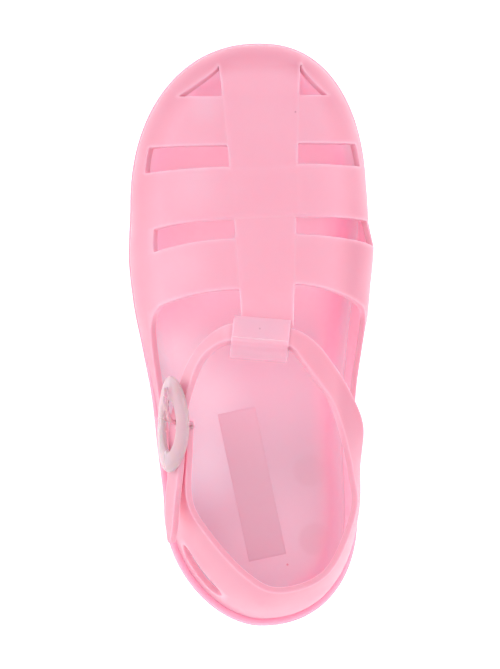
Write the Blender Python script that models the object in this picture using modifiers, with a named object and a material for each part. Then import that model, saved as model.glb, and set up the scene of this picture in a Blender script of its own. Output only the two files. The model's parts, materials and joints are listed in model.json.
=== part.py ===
"""Left shoe of a moulded, see-through sandal for the water: sole unit, strap upper, clear buckle.

Sizes are millimetres until frame() turns them into metres. "Along" runs from the back of the heel to the toe
tip, "across" is negative on the lateral side (the buckle's side) and positive on the medial side, and
"height" is from the floor.
"""

import math
from collections import namedtuple

import bmesh
import bpy
from mathutils import Matrix, Vector

MM = 0.001
LATERAL, MEDIAL = -1, 1

# Middle of the finished box in plan, which becomes the origin
BOX_MID_ACROSS = 0.88
BOX_MID_ALONG = 108.0

# Plan of the sole
SHOE_LENGTH = 216.0
HEEL_ROUND_ENDS = 42.0
TOE_ROUND_STARTS = 155.8
HEEL_TIP_ACROSS = 4.6
TOE_TIP_ACROSS = 4.1
HEEL_FULLNESS = {LATERAL: 1.8, MEDIAL: 2.25}
TOE_FULLNESS = {LATERAL: 2.15, MEDIAL: 2.3}

Waist = namedtuple("Waist", "along lateral medial")
WAIST = (
    Waist(42.0, 31.0, 40.8),
    Waist(66.8, 33.6, 39.3),
    Waist(84.6, 35.6, 38.6),
    Waist(102.4, 39.0, 39.6),
    Waist(120.2, 42.5, 41.4),
    Waist(138.0, 44.2, 43.4),
    Waist(155.8, 43.6, 44.1),
)

# Side view of the sole: underside with arch and toe spring, footbed, top of the rim, ledge outside the upper
Level = namedtuple("Level", "along floor footbed rim ledge")
LEVELS = (
    Level(0.0, 1.2, 12.5, 20.5, 2.6),
    Level(12.0, 0.0, 12.0, 20.0, 2.6),
    Level(58.0, 0.0, 11.0, 18.5, 2.2),
    Level(88.0, 3.0, 10.0, 17.0, 1.0),
    Level(116.0, 0.0, 7.5, 15.0, 0.5),
    Level(172.0, 0.0, 6.5, 13.5, 0.5),
    Level(196.0, 2.2, 8.2, 14.8, 0.5),
    Level(216.0, 7.0, 12.0, 17.8, 0.5),
)

# Upper
WALL = 2.4
SEAT_GAP = 0.55
LATERAL_RIB = ((0.04, 0.45), (0.50, 0.98))
MEDIAL_RIB = ((0.00, 0.55), (0.35, 1.00))

# Edges of the cross straps: where each meets the rim and the spine, how far in the band below the gaps
# reaches and how far the wall swells out
Edge = namedtuple(
    "Edge",
    "rim_lateral spine_lateral spine_medial rim_medial band_lateral band_medial swell_lateral swell_medial",
)
STRAP_EDGES = (
    Edge(213.2, 207.0, 207.6, 212.9, 4.8, 4.8, 0.0, 0.0),
    Edge(196.4, 195.8, 196.2, 197.0, 6.4, 5.4, 0.2, 0.2),
    Edge(176.8, 177.8, 178.6, 178.3, 4.2, 2.2, 0.4, 0.6),
    Edge(166.5, 169.3, 170.5, 169.6, 4.6, 2.0, 0.4, 0.8),
    Edge(142.0, 150.7, 151.7, 148.8, 9.0, 1.8, 0.4, 2.6),
    Edge(132.5, 143.1, 144.7, 138.2, 9.0, 1.8, 0.4, 5.6),
    Edge(112.0, 124.6, 126.5, 108.5, 4.0, 1.4, 0.0, 6.6),
)
STRAPS = (1, 3, 5)
TOE_HOLE_BOW = 0.85

# Spine over the instep
SPINE_FRONT = 210.0
SPINE_BACK = 112.0
SPINE_LATERAL = (-10.9, -2.0)
SPINE_MEDIAL = (19.4, 16.8)
SPINE_CROWN = 1.0
SPINE_DROP = {LATERAL: 0.9, MEDIAL: 0.5}
SPINE_END = {LATERAL: 111.5, MEDIAL: 110.3}
Ridge = namedtuple("Ridge", "along height")
RIDGE = (
    Ridge(112.0, 60.3),
    Ridge(125.0, 55.5),
    Ridge(145.0, 49.0),
    Ridge(165.0, 42.5),
    Ridge(180.0, 37.5),
    Ridge(197.0, 31.0),
    Ridge(210.0, 25.5),
)

# Heel counter: where each post stands on the rim, and the collar above it
Post = namedtuple("Post", "side rim_along across along height swell")
HEEL_POSTS = (
    Post(LATERAL, 64.0, -21.2, 66.0, 50.5, 1.0),
    Post(LATERAL, 47.0, -21.4, 47.5, 50.5, 1.4),
    Post(LATERAL, 29.5, -15.4, 35.8, 52.0, 1.6),
    Post(LATERAL, 6.3, -1.0, 19.8, 55.0, 1.9),
    Post(MEDIAL, 0.0, 12.0, 13.7, 57.0, 2.2),
    Post(MEDIAL, 9.0, 29.3, 20.8, 55.0, 2.0),
    Post(MEDIAL, 40.0, 39.0, 43.0, 51.5, 1.8),
    Post(MEDIAL, 60.0, 37.6, 59.5, 51.4, 3.6),
)
WINDOWS = (2, 5)
LOW_WALL_SHARE = 0.18
COLLAR_BAND_SHARE = 0.42

# Buckle tab at the lateral end of the collar
TAB_END_UPPER = Vector((-20.7, 76.0, 54.0))
TAB_END_LOWER = Vector((-24.7, 76.0, 44.0))

# Ankle strap from the medial collar through the keeper and the buckle to its free end: upper and lower edge
Strap = namedtuple("Strap", "upper_across upper_along upper_height lower_across lower_along lower_height")
ANKLE_STRAP = (
    Strap(34.6, 72.0, 55.8, 42.0, 74.5, 45.8),
    Strap(30.6, 83.0, 60.3, 37.4, 86.5, 52.0),
    Strap(25.2, 91.0, 64.0, 31.5, 96.2, 57.0),
    Strap(20.0, 97.8, 66.6, 25.0, 104.4, 60.2),
    Strap(14.8, 103.2, 68.0, 17.0, 109.3, 61.8),
    Strap(4.2, 104.3, 68.1, 5.5, 110.4, 61.8),
    Strap(-6.5, 105.0, 67.6, -6.0, 111.2, 61.2),
    Strap(-11.9, 103.0, 65.8, -14.6, 106.3, 57.6),
    Strap(-17.2, 97.5, 62.6, -20.6, 98.2, 53.6),
    Strap(-21.0, 87.5, 59.0, -24.8, 88.0, 49.6),
    Strap(-23.8, 75.0, 55.0, -27.8, 75.0, 45.4),
    Strap(-24.4, 60.0, 52.1, -28.2, 60.0, 42.9),
    Strap(-25.9, 46.0, 50.0, -29.5, 46.0, 41.0),
    Strap(-26.9, 35.0, 47.8, -29.1, 35.0, 41.0),
    Strap(-27.7, 31.0, 45.4, -28.5, 31.0, 43.0),
)
KEEPER_ROW = 5
BUCKLE_ROW = 10

# Keeper sleeve, in the strap's own directions: length, width and thickness
KEEPER_LENGTH = 21.2
KEEPER_WIDTH = 16.2
KEEPER_THICK = 7.0
KEEPER_WALL = 1.7
KEEPER_ROUND = 1.6
KEEPER_SHIFT = 1.4

# Buckle, in the strap's own directions
FRAME_LONG = 36.2
FRAME_TALL = 24.0
FRAME_THICK = 2.8
FRAME_RIM = 7.4
FRAME_STANDOFF = 1.7
FRAME_TURN = 0.5
BAR_RADIUS = 0.9
BAR_DEPTH = 4.6
BAR_HALF = 6.5
BAR_ROUND = 1.4
KNUCKLE_RADIUS = 2.4
KNUCKLE_HALF = 4.6
CLEARANCE = 0.3
PRONG_RADIUS = 0.8
PRONG_ROOT = -0.6
PRONG_TIP = -14.0

# Sole side and underside, insets from the outline and shares of the height
SOLE_EDGE = 3.0
SOLE_STEP = 0.9
LUG_RING_OUTER = 7.6
LUG_RING_INNER = 5.4
GROOVE_DEPTH = 1.6
Lug = namedtuple("Lug", "across along")
LUGS = (
    Lug(23.0, 57.5),
    Lug(25.0, 32.0),
    Lug(-14.0, 57.5),
    Lug(-11.0, 32.0),
    Lug(5.5, 44.0),
    Lug(-24.0, 126.0),
    Lug(1.0, 126.0),
    Lug(25.0, 126.0),
    Lug(-24.0, 163.0),
    Lug(1.0, 163.0),
    Lug(26.0, 163.0),
)
FLEX_GROOVES = (138.0, 144.5, 151.0)
FLEX_WIDTH = 2.2
FLEX_REACH = 30.0

# Mesh steps
BAND_STEPS = 2
STRAP_STEPS = 6
STRAP_COLUMNS = 4
GAP_COLUMNS = 3
TOE_COLUMNS = 6
SPINE_COLUMNS = 6
SPINE_TAIL_ROWS = 4
ARCH_COLUMNS = 6
POST_COLUMNS = 4
COUNTER_STEPS = 4
COLLAR_STEPS = 2
TAB_COLUMNS = 3
ANKLE_COLUMNS = 60
ANKLE_STEPS = 2
HEEL_COLUMNS = 9
WAIST_COLUMNS = 16
TOE_SOLE_COLUMNS = 10
RING_SEGMENTS = 20
SHARP_ANGLE = math.radians(35)


def frame(point):
    """A point in mm (across, along, height) as metres about the origin of the part."""
    return Vector(((point[0] - BOX_MID_ACROSS) * MM, (point[1] - BOX_MID_ALONG) * MM, point[2] * MM))


def mix(a, b, share):
    return a + (b - a) * share


def smooth(table, column, along):
    """A column of a table between its rows, on a curve that never swings past a row."""
    keys = [row.along for row in table]
    values = [getattr(row, column) for row in table]
    if along <= keys[0]:
        return values[0]
    if along >= keys[-1]:
        return values[-1]
    rises = [(values[i + 1] - values[i]) / (keys[i + 1] - keys[i]) for i in range(len(keys) - 1)]
    slopes = [0.0]
    for before, after in zip(rises, rises[1:]):
        slopes.append(2 * before * after / (before + after) if before * after > 0 else 0.0)
    slopes.append(0.0)
    i = max(k for k in range(len(keys) - 1) if keys[k] <= along)
    width = keys[i + 1] - keys[i]
    t = (along - keys[i]) / width
    return (
        values[i] * (1 + 2 * t) * (1 - t) ** 2
        + slopes[i] * width * t * (1 - t) ** 2
        + values[i + 1] * t * t * (3 - 2 * t)
        + slopes[i + 1] * width * t * t * (t - 1)
    )


def through(points, place):
    """A point on the smooth curve through points; place 0 is the first and len(points) - 1 the last."""
    i = min(int(place), len(points) - 2)
    t = place - i
    b, c = points[i], points[i + 1]
    a = points[i - 1] if i else b * 2 - c
    d = points[i + 2] if i + 2 < len(points) else c * 2 - b
    return 0.5 * (2 * b + (c - a) * t + (2 * a - 5 * b + 4 * c - d) * t**2 + (3 * b - a - 3 * c + d) * t**3)


def half_width(side, row):
    return side * (row.lateral if side == LATERAL else row.medial)


def outline(side, place):
    """Plan point of the sole's edge; place 0 is the heel tip, 1 and 2 end the rounds, 3 is the toe tip."""
    if place <= 1:
        turn, power = place * math.pi / 2, 2 / HEEL_FULLNESS[side]
        half = half_width(side, WAIST[0]) - HEEL_TIP_ACROSS
        along = HEEL_ROUND_ENDS * (1 - math.cos(turn) ** power)
        return Vector((HEEL_TIP_ACROSS + half * math.sin(turn) ** power, along))
    if place < 2:
        along = mix(HEEL_ROUND_ENDS, TOE_ROUND_STARTS, place - 1)
        return Vector((side * smooth(WAIST, "lateral" if side == LATERAL else "medial", along), along))
    turn, power = (3 - place) * math.pi / 2, 2 / TOE_FULLNESS[side]
    half = half_width(side, WAIST[-1]) - TOE_TIP_ACROSS
    along = TOE_ROUND_STARTS + (SHOE_LENGTH - TOE_ROUND_STARTS) * math.cos(turn) ** power
    return Vector((TOE_TIP_ACROSS + half * math.sin(turn) ** power, along))


def place_at(side, along):
    """The place of outline() that lies at a distance along the shoe."""
    if along < HEEL_ROUND_ENDS:
        return math.acos((1 - along / HEEL_ROUND_ENDS) ** (HEEL_FULLNESS[side] / 2)) * 2 / math.pi
    if along <= TOE_ROUND_STARTS:
        return 1 + (along - HEEL_ROUND_ENDS) / (TOE_ROUND_STARTS - HEEL_ROUND_ENDS)
    share = (along - TOE_ROUND_STARTS) / (SHOE_LENGTH - TOE_ROUND_STARTS)
    return 3 - math.acos(share ** (TOE_FULLNESS[side] / 2)) * 2 / math.pi


def inward(side, place):
    """Unit plan direction from the sole's edge towards the middle of the shoe."""
    ahead = outline(side, min(place + 0.01, 3.0)) - outline(side, max(place - 0.01, 0.0))
    ahead.normalize()
    return Vector((-ahead.y, ahead.x)) * side


def rim_point(side, place, inset, height_of):
    """A point of the sole's side at an inset from its edge; height is a function of the distance along."""
    edge = outline(side, place)
    point = edge + inward(side, place) * inset
    return Vector((point.x, point.y, height_of(edge.y)))


def base(side, place):
    """Foot of the middle surface of the upper's wall, on the sole's rim."""
    ledge = smooth(LEVELS, "ledge", outline(side, place).y)
    return rim_point(side, place, ledge + WALL / 2, lambda along: smooth(LEVELS, "rim", along) + SEAT_GAP)


def bezier(handles, t):
    """Inset share and height share of a wall at t, from its foot (0, 0) to the spine (1, 1)."""
    one, two = handles
    return tuple(3 * t * (1 - t) ** 2 * one[i] + 3 * t**2 * (1 - t) * two[i] + t**3 for i in (0, 1))


def edge_value(column, step):
    """A column of the strap table between its rows."""
    i = min(int(step), len(STRAP_EDGES) - 2)
    return mix(getattr(STRAP_EDGES[i], column), getattr(STRAP_EDGES[i + 1], column), step - i)


def named(column, side):
    return column + ("_lateral" if side == LATERAL else "_medial")


def spine_edge(side, along):
    """Edge of the spine, on the middle surface of the upper."""
    front, back = SPINE_LATERAL if side == LATERAL else SPINE_MEDIAL
    across = mix(back, front, (along - SPINE_BACK) / (SPINE_FRONT - SPINE_BACK))
    return Vector((across, along, smooth(RIDGE, "height", along) - SPINE_DROP[side]))


def spine_point(step, share):
    """Point of the spine between its edges; past the last strap edge it runs on to the keeper."""
    ends = []
    last = len(STRAP_EDGES) - 1
    for side in (LATERAL, MEDIAL):
        along = edge_value(named("spine", side), min(step, last))
        ends.append(spine_edge(side, mix(along, SPINE_END[side], max(step - last, 0.0))))
    point = mix(ends[0], ends[1], share)
    point.z += SPINE_CROWN * 4 * share * (1 - share)
    return point


def rib(side, step, t):
    """Point of the upper between the rim (t 0) and the spine (t 1), at a step of the strap table."""
    place = place_at(side, edge_value(named("rim", side), step))
    foot = base(side, place)
    top = spine_edge(side, edge_value(named("spine", side), step))
    inset, rise = bezier(LATERAL_RIB if side == LATERAL else MEDIAL_RIB, t)
    follow = mix(inset, rise, min(step, 1.0))
    out = inward(side, place) * -edge_value(named("swell", side), step) * 4 * rise * (1 - rise)
    plan = Vector((mix(foot.x, top.x, inset), mix(foot.y, top.y, follow))) + out
    return Vector((plan.x, plan.y, mix(foot.z, top.z, rise)))


def band_top(side, step):
    """The t of rib() where the band under the gaps ends; before the first strap it closes to the spine."""
    if step < 1:
        return mix(1.0, band_top(side, 1.0), step**TOE_HOLE_BOW)
    place = place_at(side, edge_value(named("rim", side), step))
    foot = base(side, place)
    top = spine_edge(side, edge_value(named("spine", side), step))
    span = (top.xy - foot.xy).length
    share = edge_value(named("band", side), step) / span
    low, high = 0.0, 1.0
    for _ in range(40):
        middle = (low + high) / 2
        inset = bezier(LATERAL_RIB if side == LATERAL else MEDIAL_RIB, middle)[0]
        low, high = (middle, high) if inset < share else (low, middle)
    return low


def toe_front(share, t):
    """Point of the toe band in front of the spine."""
    ends = [3 - place_at(side, edge_value(named("rim", side), 0)) for side in (LATERAL, MEDIAL)]
    away = mix(-ends[0], ends[1], share)
    foot = base(LATERAL if away < 0 else MEDIAL, 3 - abs(away))
    top = spine_point(0, share)
    handles = [[mix(a, b, share) for a, b in zip(one, two)] for one, two in zip(LATERAL_RIB, MEDIAL_RIB)]
    inset, rise = bezier(handles, t)
    return Vector((mix(foot.x, top.x, inset), mix(foot.y, top.y, inset), mix(foot.z, top.z, rise)))


def signed_base(away):
    """Foot of the heel counter; away is negative on the lateral side and 0 at the heel tip."""
    side = LATERAL if away < 0 else MEDIAL
    return base(side, abs(away)), inward(side, abs(away))


def counter(column, t):
    """Point of the heel counter at a column of the post table, from the rim (t 0) to the collar (t 1)."""
    rows = [Vector((post.side * place_at(post.side, post.rim_along), post.swell, 0.0)) for post in HEEL_POSTS]
    tops = [Vector((post.across, post.along, post.height)) for post in HEEL_POSTS]
    row = through(rows, column)
    foot, inner = signed_base(row.x)
    point = mix(foot, through(tops, column), t)
    out = inner * -row.y * 4 * t * (1 - t)
    return Vector((point.x + out.x, point.y + out.y, point.z))


def local(point, side, place):
    """A point as inward, forward and up distances from the foot of the wall."""
    foot, inner = base(side, place), inward(side, place)
    offset = point - foot
    return Vector((offset.xy.dot(inner), offset.xy.dot(Vector((-inner.y, inner.x))), offset.z))


def from_local(offset, side, place):
    foot, inner = base(side, place), inward(side, place)
    plan = inner * offset.x + Vector((-inner.y, inner.x)) * offset.y
    return foot + Vector((plan.x, plan.y, offset.z))


def arch_wall(side, share, level):
    """Point of the low wall between the last strap and the heel counter."""
    last = len(STRAP_EDGES) - 1
    column = 0 if side == LATERAL else len(HEEL_POSTS) - 1
    front = place_at(side, edge_value(named("rim", side), last))
    back = place_at(side, HEEL_POSTS[column].rim_along)
    ahead = local(rib(side, last, level * band_top(side, last)), side, front)
    behind = local(counter(column, level * LOW_WALL_SHARE), side, back)
    fall = 1 - (1 - share) ** 2.5
    return from_local(mix(ahead, behind, fall), side, mix(front, back, share))


def tab(share, drop):
    """Point of the buckle tab, from the collar to the knuckle; drop 0 is its upper edge."""
    start = counter(0, mix(1.0, COLLAR_BAND_SHARE, drop))
    return mix(start, mix(TAB_END_UPPER, TAB_END_LOWER, drop), share)


def strap_rows():
    """Upper and lower edge points of the ankle strap, the first ones on the collar."""
    column = len(HEEL_POSTS) - 1
    uppers, lowers = [counter(column, 1.0)], [counter(column, COLLAR_BAND_SHARE)]
    for row in ANKLE_STRAP:
        uppers.append(Vector((row.upper_across, row.upper_along, row.upper_height)))
        lowers.append(Vector((row.lower_across, row.lower_along, row.lower_height)))
    return uppers, lowers


def ankle_strap(share, drop):
    """Point of the ankle strap, from the collar to its free end; drop 0 is its upper edge."""
    uppers, lowers = strap_rows()
    place = share * (len(uppers) - 1)
    start = counter(len(HEEL_POSTS) - 1, mix(1.0, COLLAR_BAND_SHARE, drop))
    swell = start - mix(uppers[0], lowers[0], drop)
    return mix(through(uppers, place), through(lowers, place), drop) + swell * max(0.0, 1 - place)


def axes(middle, ahead, up):
    """Matrix of a local frame in metres: x ahead, y up, z out."""
    x = ahead.normalized()
    z = x.cross(up).normalized()
    y = z.cross(x)
    turn = Matrix((x, y, z)).transposed().to_4x4()
    return Matrix.Translation(frame(middle)) @ turn


def strap_frame(row):
    """Local frame of the ankle strap at a table row: x to the free end, y to the upper edge, z out."""
    uppers, lowers = strap_rows()
    middles = [(a + b) / 2 for a, b in zip(uppers, lowers)]
    at = row + 1
    return axes(middles[at], middles[at + 1] - middles[at - 1], uppers[at] - lowers[at])


def buckle_frame():
    """Local frame of the buckle: the strap's own, but turned less in plan."""
    uppers, lowers = strap_rows()
    middles = [(a + b) / 2 for a, b in zip(uppers, lowers)]
    at = BUCKLE_ROW + 1
    ahead = middles[at + 1] - middles[at - 1]
    ahead.x *= FRAME_TURN
    return axes(middles[at], ahead, uppers[at] - lowers[at])


def add_patch(bm, columns, rows, point):
    """A grid of faces laid on point(u, v), u and v from 0 to 1."""
    grid = bmesh.ops.create_grid(bm, x_segments=columns, y_segments=rows, size=0.5)
    for vert in grid["verts"]:
        vert.co = frame(point(vert.co.x + 0.5, vert.co.y + 0.5))


def strap_columns(edge):
    """Mesh steps between an edge of the strap table and the next one."""
    if edge == 0:
        return TOE_COLUMNS
    return STRAP_COLUMNS if edge in STRAPS else GAP_COLUMNS


def upper_surface():
    """Middle surface of the whole upper, strap patches joined along their shared edges."""
    bm = bmesh.new()
    last = len(STRAP_EDGES) - 1
    for side in (LATERAL, MEDIAL):
        for i in range(last):
            columns = strap_columns(i)
            add_patch(bm, columns, BAND_STEPS, lambda u, v: rib(side, i + u, v * band_top(side, i + u)))
            if i in STRAPS:
                add_patch(
                    bm,
                    columns,
                    STRAP_STEPS,
                    lambda u, v: rib(side, i + u, mix(band_top(side, i + u), 1.0, v)),
                )
        add_patch(bm, ARCH_COLUMNS, BAND_STEPS, lambda u, v: arch_wall(side, u, v))
    for i in range(last + 1):
        rows = SPINE_TAIL_ROWS if i == last else strap_columns(i)
        add_patch(bm, SPINE_COLUMNS, rows, lambda u, v: spine_point(i + v, u))
    add_patch(bm, SPINE_COLUMNS, BAND_STEPS, toe_front)
    for i in range(len(HEEL_POSTS) - 1):
        columns = POST_COLUMNS * (2 if i in WINDOWS else 1)
        add_patch(bm, columns, BAND_STEPS, lambda u, v: counter(i + u, v * LOW_WALL_SHARE))
        if i not in WINDOWS:
            add_patch(
                bm,
                columns,
                COUNTER_STEPS,
                lambda u, v: counter(i + u, mix(LOW_WALL_SHARE, COLLAR_BAND_SHARE, v)),
            )
        add_patch(bm, columns, COLLAR_STEPS, lambda u, v: counter(i + u, mix(COLLAR_BAND_SHARE, 1.0, v)))
    add_patch(bm, TAB_COLUMNS, COLLAR_STEPS, lambda u, v: tab(u, 1 - v))
    add_patch(bm, ANKLE_COLUMNS, ANKLE_STEPS, lambda u, v: ankle_strap(u, 1 - v))
    bmesh.ops.remove_doubles(bm, verts=bm.verts, dist=0.02 * MM)
    bmesh.ops.recalc_face_normals(bm, faces=bm.faces)
    return bm


def new_object(name, bm, collection):
    mesh = bpy.data.meshes.new(name)
    bm.to_mesh(mesh)
    bm.free()
    made = bpy.data.objects.new(name, mesh)
    collection.objects.link(made)
    return made


def as_mesh(name, curve, matrix, collection):
    """A curve turned into a closed mesh and laid in place."""
    drawn = bpy.data.objects.new(name + "_drawn", curve)
    collection.objects.link(drawn)
    bpy.context.view_layer.update()
    mesh = bpy.data.meshes.new_from_object(drawn.evaluated_get(bpy.context.evaluated_depsgraph_get()))
    bpy.data.objects.remove(drawn)
    bm = bmesh.new()
    bm.from_mesh(mesh)
    bpy.data.meshes.remove(mesh)
    bmesh.ops.remove_doubles(bm, verts=bm.verts, dist=1e-6)
    bmesh.ops.recalc_face_normals(bm, faces=bm.faces)
    bmesh.ops.transform(bm, matrix=matrix, verts=bm.verts)
    return new_object(name, bm, collection)


def flat_solid(name, loops, low, high, matrix, collection):
    """A flat outline with holes, from low to high along local z; loops are lists of plan points in mm."""
    curve = bpy.data.curves.new(name, "CURVE")
    curve.dimensions = "2D"
    curve.fill_mode = "BOTH"
    curve.extrude = (high - low) / 2 * MM
    for loop in loops:
        spline = curve.splines.new("POLY")
        spline.points.add(len(loop) - 1)
        for point, (x, y) in zip(spline.points, loop):
            point.co = (x * MM, y * MM, 0.0, 1.0)
        spline.use_cyclic_u = True
    return as_mesh(name, curve, matrix @ Matrix.Translation((0, 0, (low + high) / 2 * MM)), collection)


def rod(name, start, end, radius, matrix, collection, segments=16):
    """A cylinder between two points of a local frame, in mm."""
    span = end - start
    turn = span.to_track_quat("Z", "Y").to_matrix().to_4x4()
    bm = bmesh.new()
    bmesh.ops.create_cone(
        bm, cap_ends=True, segments=segments, radius1=radius * MM, radius2=radius * MM, depth=span.length * MM
    )
    bmesh.ops.transform(bm, matrix=matrix @ Matrix.Translation((start + end) / 2 * MM) @ turn, verts=bm.verts)
    return new_object(name, bm, collection)


def tube(name, path, radius, matrix, collection):
    """A round rod along a path of points in a local frame, in mm."""
    curve = bpy.data.curves.new(name, "CURVE")
    curve.dimensions = "3D"
    curve.bevel_depth = radius * MM
    curve.bevel_resolution = 2
    curve.use_fill_caps = True
    spline = curve.splines.new("POLY")
    spline.points.add(len(path) - 1)
    for point, place in zip(spline.points, path):
        point.co = (*(value * MM for value in place), 1.0)
    return as_mesh(name, curve, matrix, collection)


def ellipse(long, tall, segments):
    turns = [2 * math.pi * k / segments for k in range(segments)]
    return [(long / 2 * math.cos(turn), tall / 2 * math.sin(turn)) for turn in turns]


def rounded_box(width, height, radius, steps=4):
    """Corners of a rectangle with round corners."""
    loop = []
    for quarter, (x, y) in enumerate(((1, 1), (-1, 1), (-1, -1), (1, -1))):
        middle = (x * (width / 2 - radius), y * (height / 2 - radius))
        for k in range(steps + 1):
            turn = math.pi / 2 * (quarter + k / steps)
            loop.append((middle[0] + radius * math.cos(turn), middle[1] + radius * math.sin(turn)))
    return loop


def boolean(target, other, operation):
    modifier = target.modifiers.new(other.name, "BOOLEAN")
    modifier.operation = operation
    modifier.solver = "EXACT"
    modifier.object = other


def hide(helper):
    helper.hide_render = True
    helper.display_type = "WIRE"


def finish(target, colour, roughness, alpha=1.0):
    """Smooth shading with sharp creases, and the piece's own material."""
    target.data.shade_smooth()
    target.data.set_sharp_from_angle(angle=SHARP_ANGLE)
    material = bpy.data.materials.new(target.name)
    material.use_nodes = True
    shader = material.node_tree.nodes["Principled BSDF"]
    shader.inputs["Base Color"].default_value = (*colour, 1.0)
    shader.inputs["Roughness"].default_value = roughness
    shader.inputs["Metallic"].default_value = 0.0
    shader.inputs["Alpha"].default_value = alpha
    material.diffuse_color = (*colour, alpha)
    target.data.materials.clear()
    target.data.materials.append(material)


def build_upper(parts, helpers):
    upper = new_object("upper", upper_surface(), parts)
    shell = upper.modifiers.new("wall", "SOLIDIFY")
    shell.thickness = WALL * MM
    shell.offset = 0.0
    shell.use_even_offset = True
    keeper_frame = strap_frame(KEEPER_ROW) @ Matrix.Translation((0.0, KEEPER_SHIFT * MM, 0.0))
    profile = [
        rounded_box(KEEPER_WIDTH, KEEPER_THICK, KEEPER_ROUND),
        rounded_box(KEEPER_WIDTH - 2 * KEEPER_WALL, KEEPER_THICK - 2 * KEEPER_WALL, KEEPER_ROUND / 3),
    ]
    across = keeper_frame @ Matrix.Rotation(math.pi / 2, 4, "Y") @ Matrix.Rotation(math.pi / 2, 4, "Z")
    sleeve = flat_solid("keeper_sleeve", profile, -KEEPER_LENGTH / 2, KEEPER_LENGTH / 2, across, helpers)
    boolean(upper, sleeve, "UNION")
    buckle = buckle_frame()
    bar_middle, half = Vector((0, 0, -BAR_DEPTH)), Vector((0, KNUCKLE_HALF, 0))
    knuckle = rod("knuckle", bar_middle - half, bar_middle + half, KNUCKLE_RADIUS, buckle, helpers)
    boolean(upper, knuckle, "UNION")
    half.y += 2.0
    hole = rod("bar_hole", bar_middle - half, bar_middle + half, BAR_RADIUS + CLEARANCE, buckle, helpers)
    boolean(upper, hole, "DIFFERENCE")
    strap_side = Vector((PRONG_ROOT, 0, -2.0)), Vector((PRONG_ROOT, 0, 3.0))
    prong_hole = rod("prong_hole", *strap_side, PRONG_RADIUS + CLEARANCE, buckle, helpers)
    boolean(upper, prong_hole, "DIFFERENCE")
    for helper in (sleeve, knuckle, hole, prong_hole):
        hide(helper)
    finish(upper, (0.93, 0.46, 0.57), 0.35, 0.8)
    return upper


def build_buckle(parts, helpers):
    buckle = buckle_frame()
    loops = [
        ellipse(FRAME_LONG, FRAME_TALL, 40),
        ellipse(FRAME_LONG - 2 * FRAME_RIM, FRAME_TALL - 2 * FRAME_RIM, 32),
    ]
    ring = flat_solid("buckle_frame", loops, FRAME_STANDOFF, FRAME_STANDOFF + FRAME_THICK, buckle, parts)
    low, round_off = -BAR_DEPTH, BAR_ROUND
    half = [
        (0.0, BAR_HALF, FRAME_STANDOFF + FRAME_THICK / 2),
        (0.0, BAR_HALF, low + round_off),
        (0.0, BAR_HALF - round_off * 0.3, low + round_off * 0.3),
        (0.0, BAR_HALF - round_off, low),
    ]
    bar = tube("bar", half + [(x, -y, z) for x, y, z in reversed(half)], BAR_RADIUS, buckle, helpers)
    hide(bar)
    boolean(ring, bar, "UNION")
    finish(ring, (0.86, 0.80, 0.82), 0.12, 0.5)
    rest = FRAME_STANDOFF + FRAME_THICK + PRONG_RADIUS + CLEARANCE
    path = (
        (PRONG_ROOT, 0.0, KNUCKLE_RADIUS - BAR_DEPTH + CLEARANCE),
        (PRONG_ROOT, 0.0, 1.9),
        (PRONG_ROOT - 1.2, 0.0, 3.4),
        (PRONG_TIP + 5.0, 0.0, rest),
        (PRONG_TIP, 0.0, rest),
    )
    prong = tube("buckle_prong", path, PRONG_RADIUS, buckle, parts)
    finish(prong, (0.86, 0.80, 0.82), 0.12, 0.5)


def sole_loft():
    """Closed surface of the sole: rings from mid underside, up the side, to the middle of the footbed."""
    columns = []
    for side in (LATERAL, MEDIAL):
        places = [k / HEEL_COLUMNS for k in range(HEEL_COLUMNS)]
        places += [1 + k / WAIST_COLUMNS for k in range(WAIST_COLUMNS)]
        places += [2 + k / TOE_SOLE_COLUMNS for k in range(TOE_SOLE_COLUMNS + 1)]
        run = [(side, place) for place in places]
        columns += run if side == LATERAL else run[-2:0:-1]
    levels = sole_levels()
    bm = bmesh.new()
    grid = bmesh.ops.create_grid(bm, x_segments=len(columns), y_segments=len(levels) - 1, size=0.5)
    for vert in grid["verts"]:
        column = columns[round((vert.co.x + 0.5) * len(columns)) % len(columns)]
        level = levels[round((vert.co.y + 0.5) * (len(levels) - 1))]
        vert.co = frame(level(*column))
    bmesh.ops.remove_doubles(bm, verts=bm.verts, dist=0.02 * MM)
    bmesh.ops.dissolve_degenerate(bm, edges=bm.edges, dist=0.02 * MM)
    bmesh.ops.recalc_face_normals(bm, faces=bm.faces)
    return bm


def middle_point(side, place, height):
    """Point on the middle line of the sole that a place on its edge looks towards."""
    along = min(max(outline(side, place).y, HEEL_ROUND_ENDS), TOE_ROUND_STARTS)
    ends = [outline(each, place_at(each, along)).x for each in (LATERAL, MEDIAL)]
    return Vector((sum(ends) / 2, along, height(along)))


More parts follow.
